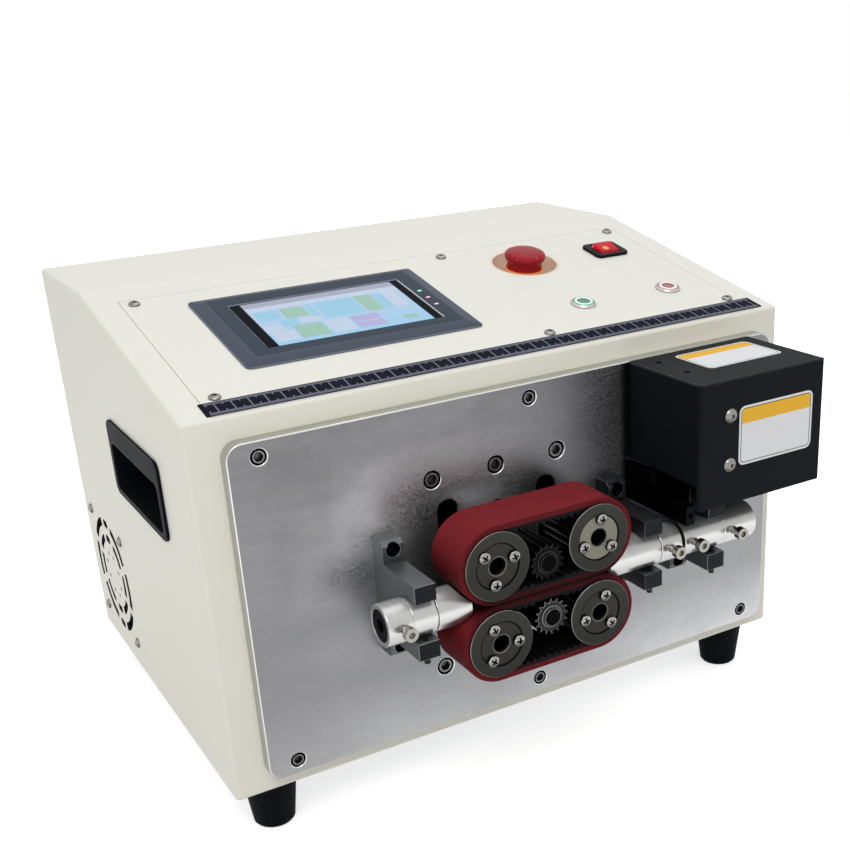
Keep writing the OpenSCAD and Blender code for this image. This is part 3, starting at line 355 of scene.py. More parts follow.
class Finish:
    """A material in the making, with its Principled shader and the object's own coordinates."""

    def __init__(self, name, color, roughness=0.5, metallic=0.0, **constants):
        self.material = bpy.data.materials.new(name)
        self.material.use_nodes = True
        self.material.diffuse_color = (*color, 1.0)
        self.tree = self.material.node_tree
        self.shader = self.tree.nodes["Principled BSDF"]
        constants.update(Base_Color=color, Roughness=roughness, Metallic=metallic)
        put_all(self.shader.inputs, constants)
        self.place = add(self.tree, "ShaderNodeTexCoord", output="Object")

    def done(self, color, roughness=None, height=None, strength=0.3, depth=0.00002, **others):
        """Links what varies, the height by way of a bump, and returns the material."""
        put_all(self.shader.inputs, dict(Base_Color=color, **others))
        if roughness is not None:
            put(self.shader.inputs["Roughness"], roughness)
        if height is not None:
            node = add(self.tree, "ShaderNodeBump", Strength=strength, Distance=depth, Height=height)
            put(self.shader.inputs["Normal"], node)
        return self.material

    def over(self, skin, color, strength=0.3, depth=0.00002, **others):
        """As done, with the roughness and height of a skin's group."""
        return self.done(color, skin["Roughness"], skin["Height"], strength, depth, **others)


def skin_material(name, color, roughness=0.5, patches=0.06, grain=900.0, depth=0.00004, **constants):
    """Powder coat, plastic or rubber: mottled tone and a fine skin."""
    finish = Finish(name, color, roughness, **constants)
    skin = use(MOTTLE, Place=finish.place, Color=color, Patch_Strength=patches, Grain_Size=grain,
               Roughness=roughness)
    return finish.over(skin, skin["Color"], 0.35, depth)


def metal_material(name, color, roughness=0.35, stretch=(1.0, 1.0, 1.0), line=900.0, contrast=0.3, cloud=0.1,
                   edge=None):
    """Brushed, turned or machined metal with its scratches along the axis with the smallest stretch."""
    finish = Finish(name, color, roughness, 1.0)
    lines = use(BRUSHED, Place=finish.place, Color=color, Stretch=stretch, Line_Size=line, Contrast=contrast,
                Cloud=cloud, Roughness=roughness)
    tint = lines["Color"]
    # The edge colour goes on arrises as rubbed steel and as a painted highlight
    if edge:
        tint = mix(use(RUBBED_AND_LIT, Place=finish.place, Amount=0.8)["Mask"], tint, edge)
    return finish.over(lines, tint)


# Finishes that are the same all over a part

CREAM = (0.81, 0.785, 0.70)
TURNED = (1, 0.1, 1)
ring_steel = metal_material("polished_button_ring", (0.50, 0.50, 0.48), 0.25, line=700.0, contrast=0.2,
                            cloud=0.2)
dark_steel = metal_material("blackened_screw_steel", (0.075, 0.075, 0.078), 0.38, line=700.0,
                            edge=(0.40, 0.40, 0.41))
spring_wire = metal_material("drawn_spring_wire", (0.34, 0.34, 0.35), 0.3, cloud=0.3)
zinc = metal_material("zinc_plated_sheet", (0.50, 0.51, 0.52), 0.45, line=200.0, cloud=0.4)
turned_steel = metal_material("turned_shaft_steel", (0.40, 0.40, 0.41), 0.3, TURNED, 1500.0)
# Inner steel seen only through gaps, and the rings round the plate's screws, painted near black as shade
shaded_inner_steel = metal_material("inner_steel_dark_as_shade", (0.006, 0.006, 0.0065), 0.45, line=600.0, cloud=0.3)
inner_plate = metal_material("plain_inner_aluminium", (0.30, 0.30, 0.31), 0.45, line=400.0, cloud=0.3)
gear_steel = metal_material("machined_gear_steel", (0.34, 0.33, 0.31), 0.36, TURNED, 1500.0, cloud=0.2)
broken_edge = metal_material("bright_broken_edge", (0.58, 0.58, 0.57), 0.3, line=1200.0, cloud=0.4)
tooth_edge = metal_material("bright_tooth_edge", (0.42, 0.42, 0.41), 0.3, line=1200.0, contrast=0.2)
grey_edge = metal_material("grey_broken_edge", (0.20, 0.20, 0.205), line=1200.0)
dull_edge = metal_material("dull_tooth_edge", (0.075, 0.075, 0.07), 0.3, line=1200.0, contrast=0.5, cloud=0.5)
olive_edge = metal_material("turned_rim_edge", (0.21, 0.205, 0.18), 0.3, line=1200.0, cloud=0.5)
motor_coat = skin_material("black_motor_coat", (0.02, 0.02, 0.022), 0.5, 0.2)
black_plastic = skin_material("black_moulded_plastic", (0.0065, 0.0075, 0.0105), 0.42, 0.25, 1200.0, 0.00003,
                              Specular_IOR_Level=0.05)
black_rim = skin_material("black_plastic_rim", (0.011, 0.012, 0.017), 0.35, 0.25, 1200.0, 0.00003,
                          Specular_IOR_Level=0.05)
handle_plastic = skin_material("black_handle_plastic", (0.0065, 0.0075, 0.0095), 0.5, 0.25, 1200.0, 0.00003,
                               Specular_IOR_Level=0.015)
foot_rubber = skin_material("foot_rubber", (0.004, 0.0055, 0.007), 0.6, 0.5, 700.0, 0.00008,
                            Specular_IOR_Level=0.03)
board_green = skin_material("electronics_cage_and_board", (0.09, 0.14, 0.12), 0.5, 0.3, 300.0)
cover_edge = skin_material("cover_edge_sheen", (0.011, 0.013, 0.016), 0.42, 0.3, Specular_IOR_Level=0.1)


# Finishes that change over a part


def coat_material():
    """Cream powder coat, painted paler on the faces that look up as light from above, with the walls of the
    fan's slots painted near black as shade.
    """
    finish = Finish("cream_powder_coat", CREAM, 0.5, Specular_IOR_Level=0.3)
    # Painted light: the faces that look up get a paler tint
    color = mix(light_from_above(finish.place, 0.4, 0.9, 0.0), CREAM, (0.80, 0.785, 0.72))
    skin = use(MOTTLE, Place=finish.place, Color=color, Patch_Strength=0.045, Grain_Size=1300.0,
               Speck_Amount=0.45)
    # Painted shade: the walls of the fan's slots near black
    near_fan = from_line(finish.place, (0, 1, 1), FAN_AT) < FAN_R
    slot_shade = between(split(finish.place)[0], *LEFT_WALL_X) * near_fan
    return finish.over(skin, mix(slot_shade, skin["Color"], (0.012, 0.012, 0.012)), 0.35, 0.00006)


def plate_material():
    """Blasted aluminium, smeared and grainy, painted lighter low down as the floor's reflection and darker
    upward, leftward and under the cover as shade, with pale machined sides warmed as a painted reflection of
    the cream housing and slot walls painted near black as shade.
    """
    finish = Finish("blasted_front_plate", (0.3, 0.3, 0.31), 0.42, 1.0)
    place = finish.place
    lines = use(BRUSHED, Place=place, Color=(1.0, 1.0, 1.0), Stretch=(0.5, 1.0, 1.0), Line_Size=1300.0,
                Contrast=0.55, Cloud=0.26, Roughness=0.42)
    x, y, z = split(place)
    # Painted reflection and shade: pale near the bottom where the floor is mirrored, darker upward and
    # leftward
    body = mix(ramp(z, BODY_Z + 10 * MM, BODY_Z + 62 * MM), (0.52, 0.525, 0.535), (0.25, 0.255, 0.265))
    body = mix(ramp(z, BODY_Z + 62 * MM, BODY_Z + 225 * MM), body, (0.162, 0.163, 0.172))
    body = mix(ramp(x, 190 * MM, -190 * MM, 0.0, 0.42), body, (0.140, 0.140, 0.150))
    smears = ramp(noise(place, 26.0, 5.0, 0.65, (0.5, 1.0, 1.0)), 0.38, 0.68, 0.0, 0.45)
    body = mix(smears, body, (0.27, 0.26, 0.262))
    # Painted light above and beside the left bracket, lifting the dark its reflection leaves: sides, bottom
    # and top, softness, gain
    for left, right, low, high, soft, gain in ((-125, -10, 15, 78, 30, 1.8), (-152, -116, 8, 52, 34, 1.75)):
        polished = patch(x, z, left * MM, right * MM, TUBE_Z + low * MM, TUBE_Z + high * MM, soft * MM)
        body = tinted(body, ramp(polished, 0.0, 1.0, 1.0, gain))
    # Painted shade: the plate under the cover near black
    cover_shadow = patch(x, z, 74 * MM, 182 * MM, BODY_Z + 136 * MM, BODY_Z + 234 * MM, 4 * MM)
    body = mix(cover_shadow, body, (0.03, 0.03, 0.032))
    skin = use(MOTTLE, Place=place, Color=body, Patch_Size=7.0, Patch_Strength=0.3, Speck_Amount=0.75)
    face = vector("MULTIPLY", skin["Color"], lines["Color"])
    low, high, rim = PLATE_LOW, PLATE_HIGH, 5 * MM
    # Side faces within the rim are the slots' walls, painted near black as shade; the outer sides are pale,
    # their warm tint a painted reflection of the cream housing
    inner = patch(x, z, low.x + rim, high.x - rim, low.z + rim, high.z - rim, 0.5 * MM)
    wall = mix(inner, (0.50, 0.50, 0.46), (0.003, 0.003, 0.0035))
    return finish.over(lines, mix(y > low.y + 0.82 * MM, face, wall))


def bracket_material(name, body, ears, bar=(0.0, 0.0)):
    """Anodised bracket: cloudy satin sides painted darker where they face front and lighter where they look
    up, rough dark sawn arm ends, lighter rims round bores painted near black as shade, and any bar given
    painted near black as shade too.
    """
    finish = Finish(name, body, 0.42, 1.0)
    place = finish.place
    lines = use(BRUSHED, Place=place, Color=body, Line_Size=500.0, Contrast=0.25, Cloud=0.7, Roughness=0.42)
    x, y = split(place)[:2]
    pits = noise(place, 900.0, 4.0, 0.7)
    sawn = tinted((0.011, 0.0125, 0.0145), ramp(pits, 0.35, 0.7, 0.5, 1.9))
    normal = normal_of(place)
    # Painted light: darker on faces that look to the front, lighter on faces that look up
    tone = ramp(normal[1], -0.9, -0.3, 0.42) * ramp(normal[2], 0.5, 0.95, 1.0, 1.4)
    tint = mix(y < ARM_END_Y + 0.05 * MM, tinted(lines["Color"], tone), sawn)
    away = 1.0
    for ear_x in ears:
        for side in (-EAR_UP, EAR_UP):
            away = calc("MINIMUM", away, from_line(place, (1, 0, 1), (ear_x * MM, 0.0, TUBE_Z + side)))
    rim = between(y, EAR_Y - 0.7 * MM, EAR_Y) * (away < 5.1 * MM)
    tint = mix(rim, tint, tinted(body, 1.3))
    # Painted shade: the ears' bores and the bar beside the blade near black
    dark = most((y > EAR_Y) * (away < 4.8 * MM), between(x, bar[0] * MM, bar[1] * MM))
    return finish.done(mix(dark, tint, (0.0022, 0.0026, 0.003)), lines["Roughness"], pits, 0.4, 0.00005)


def guide_material():
    """Turned aluminium with rings round its axis and the black bush in the tube's entry; painted darker
    inside its bore and, on its right part under the cover, on its upper faces as shade, and made less
    metallic where it looks up so those faces read lighter.
    """
    color = (0.51, 0.51, 0.50)
    finish = Finish("turned_guide_aluminium", color, 0.33, 1.0, Specular_IOR_Level=0.02)
    place = finish.place
    lines = use(BRUSHED, Place=place, Color=color, Stretch=(1.0, 0.04, 0.04), Line_Size=2200.0, Contrast=0.14,
                Cloud=0.2, Roughness=0.3)
    radius = from_line(place, (0, 1, 1), (0.0, TUBE_Y, TUBE_Z))
    bush_r, bore_r, bush_end, right_side = 10.35 * MM, 8.2 * MM, -117 * MM, 40 * MM
    x = split(place)[0]
    is_bush = (radius < bush_r) * (x < bush_end)
    # Painted shade: darker inside the bore
    tint = mix((radius < bore_r) * 0.6, lines["Color"], (0.05, 0.05, 0.05))
    # Painted shade under the cover: the upper faces of the right part darker
    shade_under_cover = (x > right_side) * (1.0 - light_from_above(place, 0.97, 0.3, 0.65))
    tint = mix(shade_under_cover, tint, (0.03, 0.03, 0.032))
    # Painted light: less metallic on faces that look up, so they take diffuse light and read lighter; none in
    # the bush
    metallic_by_lighting = calc("SUBTRACT", light_from_above(place, 0.2, 0.9, 1.0, 0.45), is_bush, clamp=True)
    return finish.over(lines, mix(is_bush, tint, (0.005, 0.005, 0.006)), depth=0.00001, Metallic=metallic_by_lighting)


def blade_material():
    """Steel blade with a bright ground edge, painted near black above it as the shade under the cover."""
    steel = (0.30, 0.30, 0.31)
    finish = Finish("ground_blade_steel", steel, 0.28, 1.0)
    lines = use(BRUSHED, Place=finish.place, Color=steel, Stretch=(1.0, 1.0, 0.05), Line_Size=1500.0,
                Contrast=0.2, Roughness=0.28)
    # Painted shade: the blade above its ground edge near black, as under the cover
    blackened = ramp(split(finish.place)[2], BODY_Z + 141.5 * MM, BODY_Z + 142.5 * MM)
    return finish.over(lines, mix(blackened, lines["Color"], (0.010, 0.010, 0.011)), depth=0.00001)


def belt_material(name, centre_z):
    """Black toothed belt with a dark red rubber face bonded to its back, painted darker at the nip between
    the belts and on faces that look down, as shade.
    """
    red = (0.165, 0.0135, 0.018)
    finish = Finish(name, red, 0.65, Specular_IOR_Level=0.07)
    place = finish.place
    x, _, z = split(vector("SUBTRACT", place, (FEED_X, 0.0, centre_z)))
    beyond = most(calc("ABSOLUTE", x) - BELT_HALF, 0.0)
    away = vector("LENGTH", add(place.tree, "ShaderNodeCombineXYZ", beyond, None, z), output="Value")
    skin = use(MOTTLE, Place=place, Color=red, Patch_Size=24.0, Patch_Strength=0.3, Grain_Size=1300.0,
               Roughness=0.62)
    rubbed = ramp(noise(place, 60.0, stretch=(1.0, 26.0, 1.0)), 0.5, 0.8, 0.0, 0.3)
    faded = mix(rubbed, skin["Color"], (0.20, 0.028, 0.032))
    # Painted shade: darker near the nip between the belts and on faces that look down
    height = calc("ABSOLUTE", split(place)[2] - TUBE_Z)
    nip_shade = ramp(height, 1.0 * MM, 11.0 * MM, 0.15, 1.0)
    worn = tinted(faded, nip_shade * light_from_above(place, -0.6, 0.7, 0.3, 1.12))
    return finish.over(skin, mix(away > BELT_BACK_R, (0.004, 0.004, 0.005), worn), 0.5, 0.00006)


def turned_rings(around):
    """Fine rings at each distance from a wheel's axle."""
    along = around * (1 / MM)
    return add(around.tree, "ShaderNodeTexNoise", noise_dimensions="1D", W=along, Scale=4.0, Detail=4.0)


def wheel_material(name, middle):
    """Hard-anodised face turned in fine rings, painted lighter toward its top; behind its front flange the
    wheel is painted near black as shade.
    """
    color = (0.029, 0.029, 0.026)
    finish = Finish(name, color, 0.4, 1.0)
    place = finish.place
    around = from_line(place, (1, 0, 1), middle)
    rings = turned_rings(around)
    y, z = split(place)[1:]
    tone = ramp(rings, 0.3, 0.7, 0.86, 1.1) + ramp(noise(place, 90.0), 0.3, 0.7, -0.08, 0.08)
    # Painted light: lighter toward the top
    tone = tone * ramp(z, middle.z - 20 * MM, middle.z + 20 * MM, 0.85, 1.1)
    # Painted shade: near black behind the front flange and under the cap
    flange_shade = most(y > WHEEL_Y + 2.4 * MM, around < (CAP_R + 0.5) * MM)
    tint = mix(flange_shade, tinted(color, tone), (0.004, 0.004, 0.005))
    return finish.done(tint, ramp(rings, 0.2, 0.8, 0.36, 0.46), rings, 0.25)


def cap_material(name, color, middle, spots):
    """The wheel's cap disc, with its three bright pan-head screws painted lighter where they look up and dark
    where they lie back, and its bore's chamfer painted lighter where it looks up.
    """
    finish = Finish(name, color, 0.4, 1.0)
    place = finish.place
    around = from_line(place, (1, 0, 1), middle)
    rings = turned_rings(around)
    tint = tinted(color, ramp(rings, 0.3, 0.7, 0.86, 1.12))
    found = 0.0
    for spot in spots:
        found = most(found, from_line(place, (1, 0, 1), spot) < 4.0 * MM)
    y = split(place)[1]
    is_screw = found * (y < WHEEL_Y + 0.55 * MM)
    # Painted light: screw heads lighter where they look up
    dome_light = tinted((0.34, 0.335, 0.32), light_from_above(place, -0.35, 0.3, 0.28))
    # Painted shade: the screws dark where they lie back near the cap
    steel = mix(y > WHEEL_Y - 1.0 * MM, dome_light, (0.02, 0.02, 0.019))
    tint = mix(around > (CAP_R - 0.45) * MM, tint, (0.004, 0.004, 0.004))
    # Painted light: the bore's chamfer lighter where it looks up
    bore_chamfer_light = tinted((0.16, 0.158, 0.14), light_from_above(place, -0.3, 0.5, 0.3))
    tint = mix(around < (AXLE_R + 0.45) * MM, tint, bore_chamfer_light)
    return finish.done(mix(is_screw, tint, steel), ramp(is_screw, 0.0, 1.0, 0.4, 0.24), rings, 0.25)


def pinion_material(name, middle, face_y, face):
    """Feed pinion: machined face, bright hub ring, black end of its shaft, and painted near black behind the
    face as shade.
    """
    finish = Finish(name, face, 0.36, 1.0)
    around = from_line(finish.place, (1, 0, 1), middle)
    y = split(finish.place)[1]
    worn = noise(finish.place, 500.0)
    body = tinted(face, ramp(worn, 0.3, 0.7, 0.7, 1.3))
    hub = between(around, 5.55 * MM, 7.5 * MM) * (y < face_y + 1.3 * MM)
    tint = mix(hub, body, tinted(face, 2.4))
    tint = mix(around < 5.65 * MM, tint, (0.0015, 0.0015, 0.0018))
    # Painted shade: near black behind the face, back to the plate
    deep = between(y, face_y + 2.6 * MM, FRONT_Y)
    return finish.done(mix(deep, tint, (0.003, 0.003, 0.0035)), None, worn, 0.3, 0.00003)


def screw_lines(place, color, tone, roughness):
    """Turned screw heads, the tone, painted light and shade by how they face, deepening their colour."""
    sheen = tinted(color, tone)
    return use(BRUSHED, Place=place, Color=sheen, Line_Size=700.0, Cloud=0.4, Roughness=roughness)


def case_screw_material():
    """Bright pan-head screws, painted darker on their lower halves and where they look straight up, as shade.
    """
    finish = Finish("bright_screw_steel", (0.3, 0.29, 0.27), 0.3, 1.0)
    # Painted shade by how the heads face
    tone = light_from_above(finish.place, -0.45, 0.35, 0.3) * light_from_above(finish.place, 0.75, 0.97, 1.0, 0.5)
    lines = screw_lines(finish.place, (0.28, 0.27, 0.25), tone, 0.3)
    return finish.over(lines, lines["Color"])


def guide_screw_material():
    """Bright set screws in the guides, painted lighter where they look up; the screws low under the tube are
    painted dark and the cap screws deep in the brackets' ears near black, as shade.
    """
    finish = Finish("guide_screw_steel", (0.45, 0.44, 0.42), 0.27, 1.0)
    lines = screw_lines(finish.place, (0.42, 0.41, 0.37), light_from_above(finish.place, -0.5, 0.4, 0.25), 0.27)
    y, z = split(finish.place)[1:]
    # Painted shade: screws low under the tube dark, cap screws in the ears near black
    tint = mix(z < TUBE_Z - 14 * MM, lines["Color"], (0.02, 0.02, 0.021))
    return finish.over(lines, mix(y > FRONT_Y - 24 * MM, tint, (0.002, 0.002, 0.0025)))


# Blocks of the display in shares of its lit area: left, right, low, high, colour
CYAN, MINT, GREY = chart(164, 216, 242), chart(168, 208, 186), chart(178, 180, 200)
LILAC, HAZE = chart(195, 185, 230), chart(210, 222, 242)
SCREEN_BLOCKS = [
    (0.00, 1.00, 0.885, 1.01, GREY), (0.00, 1.00, 0.80, 0.885, HAZE), (0.02, 0.17, 0.56, 0.77, CYAN),
    (0.187, 0.335, 0.54, 0.77, MINT), (0.345, 0.39, 0.50, 0.79, CYAN), (0.12, 0.24, 0.36, 0.53, CYAN),
    (0.25, 0.37, 0.39, 0.50, HAZE), (0.17, 0.35, 0.07, 0.355, MINT), (0.41, 0.67, 0.41, 0.79, CYAN),
    (0.68, 0.795, 0.40, 0.785, MINT), (0.80, 0.87, 0.44, 0.76, CYAN), (0.535, 0.715, 0.22, 0.35, LILAC),
    (0.535, 0.715, 0.077, 0.20, LILAC), (0.87, 0.96, 0.40, 0.80, HAZE), (0.84, 0.93, 0.10, 0.18, MINT),
    (0.00, 0.12, 0.30, 0.44, HAZE), (0.02, 0.16, 0.07, 0.28, HAZE), (0.37, 0.52, 0.07, 0.36, HAZE)]


def screen_material():
    """Black glass with a lit picture of plain colour blocks, no words on it."""
    finish = Finish("display_glass", (0.02, 0.025, 0.03), 0.12, Specular_IOR_Level=0.01,
                    Emission_Strength=0.78)
    across, up = on_panel(finish.place)[:2]
    left, right, low, high = LIT
    wide, tall = right - left, high - low
    picture = mix(ramp(up, low, high), chart(172, 218, 250), chart(206, 218, 240))
    for a, b, c, d, color in SCREEN_BLOCKS:
        mask = patch(across, up, left + a * wide, left + b * wide, low + c * tall, low + d * tall, 0.7)
        picture = mix(mask * 0.9, picture, color)
    lit = patch(across, up, *LIT, 0.4)
    glass = mix(lit, (0.003, 0.0045, 0.008), tinted(picture, 0.1))
    ripple = ramp(noise(finish.place, 40.0), 0.3, 0.7, 0.10, 0.16)
    return finish.done(glass, ripple, Emission_Color=mix(lit, (0.0, 0.0, 0.0), picture))


def ruler_material():
    """Printed scale: fine tick bands along both edges and dark cells between them."""
    finish = Finish("printed_length_scale", (0.02, 0.025, 0.04), 0.45, Specular_IOR_Level=0.01)
    across, up = on_panel(finish.place)[:2]

    def repeating(step, width, shift=0.0):
        return add(across.tree, "ShaderNodeMath", across + shift, step, 0.0, operation="WRAP") < width

    def rows(low, high):
        return patch(across, up, -300.0, 300.0, low, high, 0.15)

    tint = mix(rows(6.4, 15.9), chart(112, 115, 126), chart(20, 25, 36))
    ticks = repeating(1.0, 0.32) * most(rows(4.2, 6.4), rows(15.9, 17.6))
    tint = mix(ticks * 0.75, tint, chart(60, 62, 76))
    notches = repeating(5.0, 0.7, 0.35) * most(rows(6.4, 8.2), rows(14.3, 15.9))
    dividers = repeating(10.0, 0.8, 0.4) * rows(6.4, 15.9)
    tint = mix(most(notches, dividers), tint, chart(124, 127, 140))
    tint = mix(most(rows(0.0, 3.7), rows(17.9, 30.0)), tint, chart(52, 56, 70))
    tint = mix(most(across < -196.0, across > 202.0), tint, chart(20, 22, 28))
    return finish.done(tint, ramp(noise(finish.place, 120.0), 0.3, 0.7, 0.34, 0.46))


def button_material(name, centre, tint, pale, halo):
    """Metal push button with a coloured disc in its middle and a lit ring round it."""
    finish = Finish(name, (0.5, 0.5, 0.5), 0.35, Emission_Strength=0.9)
    across, up = on_panel(finish.place)[:2]
    away = from_point(across, up, centre)
    disc_r, line_r, ring_r, rim_r = 4.3, 4.8, 6.1, 7.0
    disc, line = away < disc_r, between(away, disc_r, line_r)
    ring, rim = between(away, line_r, ring_r), between(away, ring_r, rim_r)
    color = mix(disc, (0.55, 0.55, 0.54), tint)
    color = mix(line, color, tinted(tint, 0.5))
    color = mix(rim, color, tinted(halo, 0.3))
    glow = mix(ring, (0.0, 0.0, 0.0), (0.80, 0.84, 0.84))
    glow = mix(disc, mix(rim, glow, halo), pale)
    lit = most(most(disc, ring), rim)
    shade = ramp(noise(finish.place, 900.0), 0.3, 0.7, 0.85, 1.12)
    return finish.done(tinted(color, shade), Emission_Color=glow, Metallic=(1.0 - lit) * 0.9)


def rocker_material():
    """Red lens lit from inside, with the lamp's hot spot and an upper edge painted paler in its glow as a
    highlight.
    """
    red = (0.12, 0.002, 0.005)
    finish = Finish("lit_red_rocker", red, 0.25, Specular_IOR_Level=0.1, Emission_Strength=0.9)
    across, up = on_panel(finish.place)[:2]
    middle_x, middle_s = ROCKER_AT
    grain = ramp(noise(finish.place, 260.0), 0.3, 0.7, 0.8, 1.15)
    hot = ramp(from_point(across, up, (middle_x - 1.5, middle_s - 2.5)), 3.6, 0.6)
    glow = tinted((0.58, 0.004, 0.018), ramp(up, middle_s - 8.0, middle_s + 1.0, 0.55, 1.0) * grain)
    # Painted highlight: the glow paler along the upper edge
    glow = mix(ramp(up, middle_s + 3.5, middle_s + 7.0), glow, (0.72, 0.17, 0.20))
    glow = mix(calc("POWER", hot, 1.4), glow, (1.0, 0.62, 0.22))
    return finish.done(tinted(red, grain), ramp(grain, 0.8, 1.15, 0.2, 0.3), Emission_Color=glow)


def estop_material():
    """Dark red mushroom whose crown has faded, with pale flecks round its upper side."""
    red = (0.33, 0.012, 0.022)
    finish = Finish("red_mushroom_plastic", red, 0.3, Specular_IOR_Level=0.09)
    place = finish.place
    out = on_panel(place)[2]
    skin = use(MOTTLE, Place=place, Color=red, Patch_Size=110.0, Patch_Strength=0.5, Roughness=0.3)
    crown = ramp(out, 8.6, 9.5) * ramp(noise(place, 150.0), 0.35, 0.65)
    scuffed = mix(crown * 0.7, skin["Color"], (0.27, 0.022, 0.032))
    pale_flecks = (noise(place, 420.0, 1.0) > 0.71) * between(out, 6.4, 8.9) * 0.75
    return finish.over(skin, mix(pale_flecks, scuffed, (0.75, 0.40, 0.42)))


# The flange of the stop's collar and the floor of its well
WELL_PALE = (0.66, 0.70, 0.64)


def collar_material():
    """Amber collar with a painted glow, going over into a pale flange."""
    amber = (0.86, 0.27, 0.03)
    finish = Finish("amber_collar_plastic", amber, 0.4, Emission_Strength=0.25, Specular_IOR_Level=0.2)
    across, up = on_panel(finish.place)[:2]
    skin = use(MOTTLE, Place=finish.place, Color=amber, Patch_Size=60.0, Patch_Strength=0.3, Roughness=0.4)
    flange = ramp(from_point(across, up, ESTOP_AT), 14.2, 14.7)
    # Painted glow: the amber part gives off light though it holds no lamp
    glow = mix(flange, amber, (0.0, 0.0, 0.0))
    return finish.over(skin, mix(flange, skin["Color"], WELL_PALE), depth=0.00003, Emission_Color=glow)


def well_material():
    """Wall of the emergency stop's well, pale brown, its warmth partly painted red light thrown back from the
    mushroom, over a grey-green floor.
    """
    # Painted reflection: part of the pale brown stands for red light from the mushroom
    wall = (0.90, 0.72, 0.59)
    finish = Finish("well_plastic", wall, 0.45)
    out = on_panel(finish.place)[2]
    skin = use(MOTTLE, Place=finish.place, Color=wall, Patch_Size=40.0, Patch_Strength=0.15, Roughness=0.45)
    floor = ramp(out, WELL_FLOOR + 0.5, WELL_FLOOR + 0.1)
    return finish.over(skin, mix(floor, skin["Color"], WELL_PALE), depth=0.00003)


def bezel_material():
    """Slate plastic, darker on its flat face than on the slopes round it."""
    face = chart(46, 57, 71)
    finish = Finish("slate_bezel_plastic", face, 0.45, Specular_IOR_Level=0.08)
    out = on_panel(finish.place)[2]
    tint = mix(out > 3.5, chart(72, 79, 92), face)
    skin = use(MOTTLE, Place=finish.place, Color=tint, Patch_Strength=0.12, Grain_Size=1500.0, Roughness=0.45)
    return finish.over(skin, skin["Color"], 0.35, 0.00003)


def rim_material():
    """Slate plastic of the bezel's edges, pale where it frames the glass."""
    slate = chart(116, 123, 138)
    finish = Finish("slate_rim_plastic", slate, 0.45, Specular_IOR_Level=0.15)
    across, up = on_panel(finish.place)[:2]
    at_glass = patch(across, up, -137.5, -12.5, 66.5, 137.0, 0.2)
    tint = mix(at_glass, slate, chart(186, 192, 200))
    skin = use(MOTTLE, Place=finish.place, Color=tint, Patch_Strength=0.2, Roughness=0.45)
    return finish.over(skin, skin["Color"], 0.35, 0.00003)


def cover_material():
    """Black coat with two blank pale plates, each with a dark keyline and an amber band."""
    color = (0.0055, 0.0072, 0.0098)
    finish = Finish("black_cover_coat", color, 0.5, Specular_IOR_Level=0.045)
    skin = use(MOTTLE, Place=finish.place, Color=color, Patch_Strength=0.35, Grain_Size=1600.0)
    plate = use(MOTTLE, Place=finish.place, Color=(0.76, 0.77, 0.78), Patch_Strength=0.1, Speck_Amount=0.3)
    pale, keyline, amber = plate["Color"], (0.03, 0.03, 0.032), (0.84, 0.47, 0.05)
    x, y, z = split(vector("SCALE", finish.place, Scale=1 / MM))
    tint, band_height, corner_r = skin["Color"], 11.5, 4.5
    for face, up, left, right, low, high in (
            (y < COVER_LOW.y / MM + 0.3, z, 110.3, 171.4, BODY_Z / MM + 175.0, BODY_Z / MM + 214.0),
            (z > COVER_HIGH.z / MM - 0.3, y, 109.0, 170.0, FRONT_Y / MM - 58.0, FRONT_Y / MM - 19.0)):
        whole = high - low
        for inset, band, fill in ((0.0, whole, pale), (1.5, whole, keyline), (2.0, whole, pale),
                                  (2.0, band_height, amber)):
            rounded = use(ROUNDED, Across=x, Up=up, Left=left + inset, Right=right - inset, Low=low + inset,
                          High=high - inset, Corner=corner_r - inset)["Mask"]
            area = rounded * patch(x, up, left, right, high - band, high, 0.2) * face
            tint = mix(area, tint, fill)
    return finish.over(skin, tint, 0.35, 0.00004)


def lamp_material(name, color):
    """Small indicator lens, brighter in its middle."""
    finish = Finish(name, color, 0.3, Emission_Strength=0.8)
    tint = tinted(color, ramp(noise(finish.place, 600.0), 0.3, 0.7, 0.75, 1.2))
    return finish.done(tint, Emission_Color=tint)


# Pieces made from the solids


def link(name, data):
    """New object in the scene that shows the data."""
    made = bpy.data.objects.new(name, data)
    bpy.context.scene.collection.objects.link(made)
    return made


def middle_of(node):
    """Middle of a node's box across and up, in metres."""
    low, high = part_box(node)
    return Vector(((low.x + high.x) / 2, 0.0, (low.z + high.z) / 2))


def slot_of(node):
    for subpart in frame["record"]["subparts"]:
        if subpart["node"] == node:
            return subpart["material_slot"]


def take_shape(piece, keep_below):
    """Smooth shading up to the angle in degrees, with flats kept flat, fixed in the mesh."""
    piece.data.shade_smooth()
    piece.data.set_sharp_from_angle(angle=math.radians(keep_below))
    flats = piece.modifiers.new("flats", "WEIGHTED_NORMAL")
    flats.keep_sharp = True
    flats.weight = 100
    bpy.context.view_layer.update()
    shaped = bpy.data.meshes.new_from_object(piece.evaluated_get(bpy.context.evaluated_depsgraph_get()))
    piece.modifiers.clear()
    piece.data = shaped


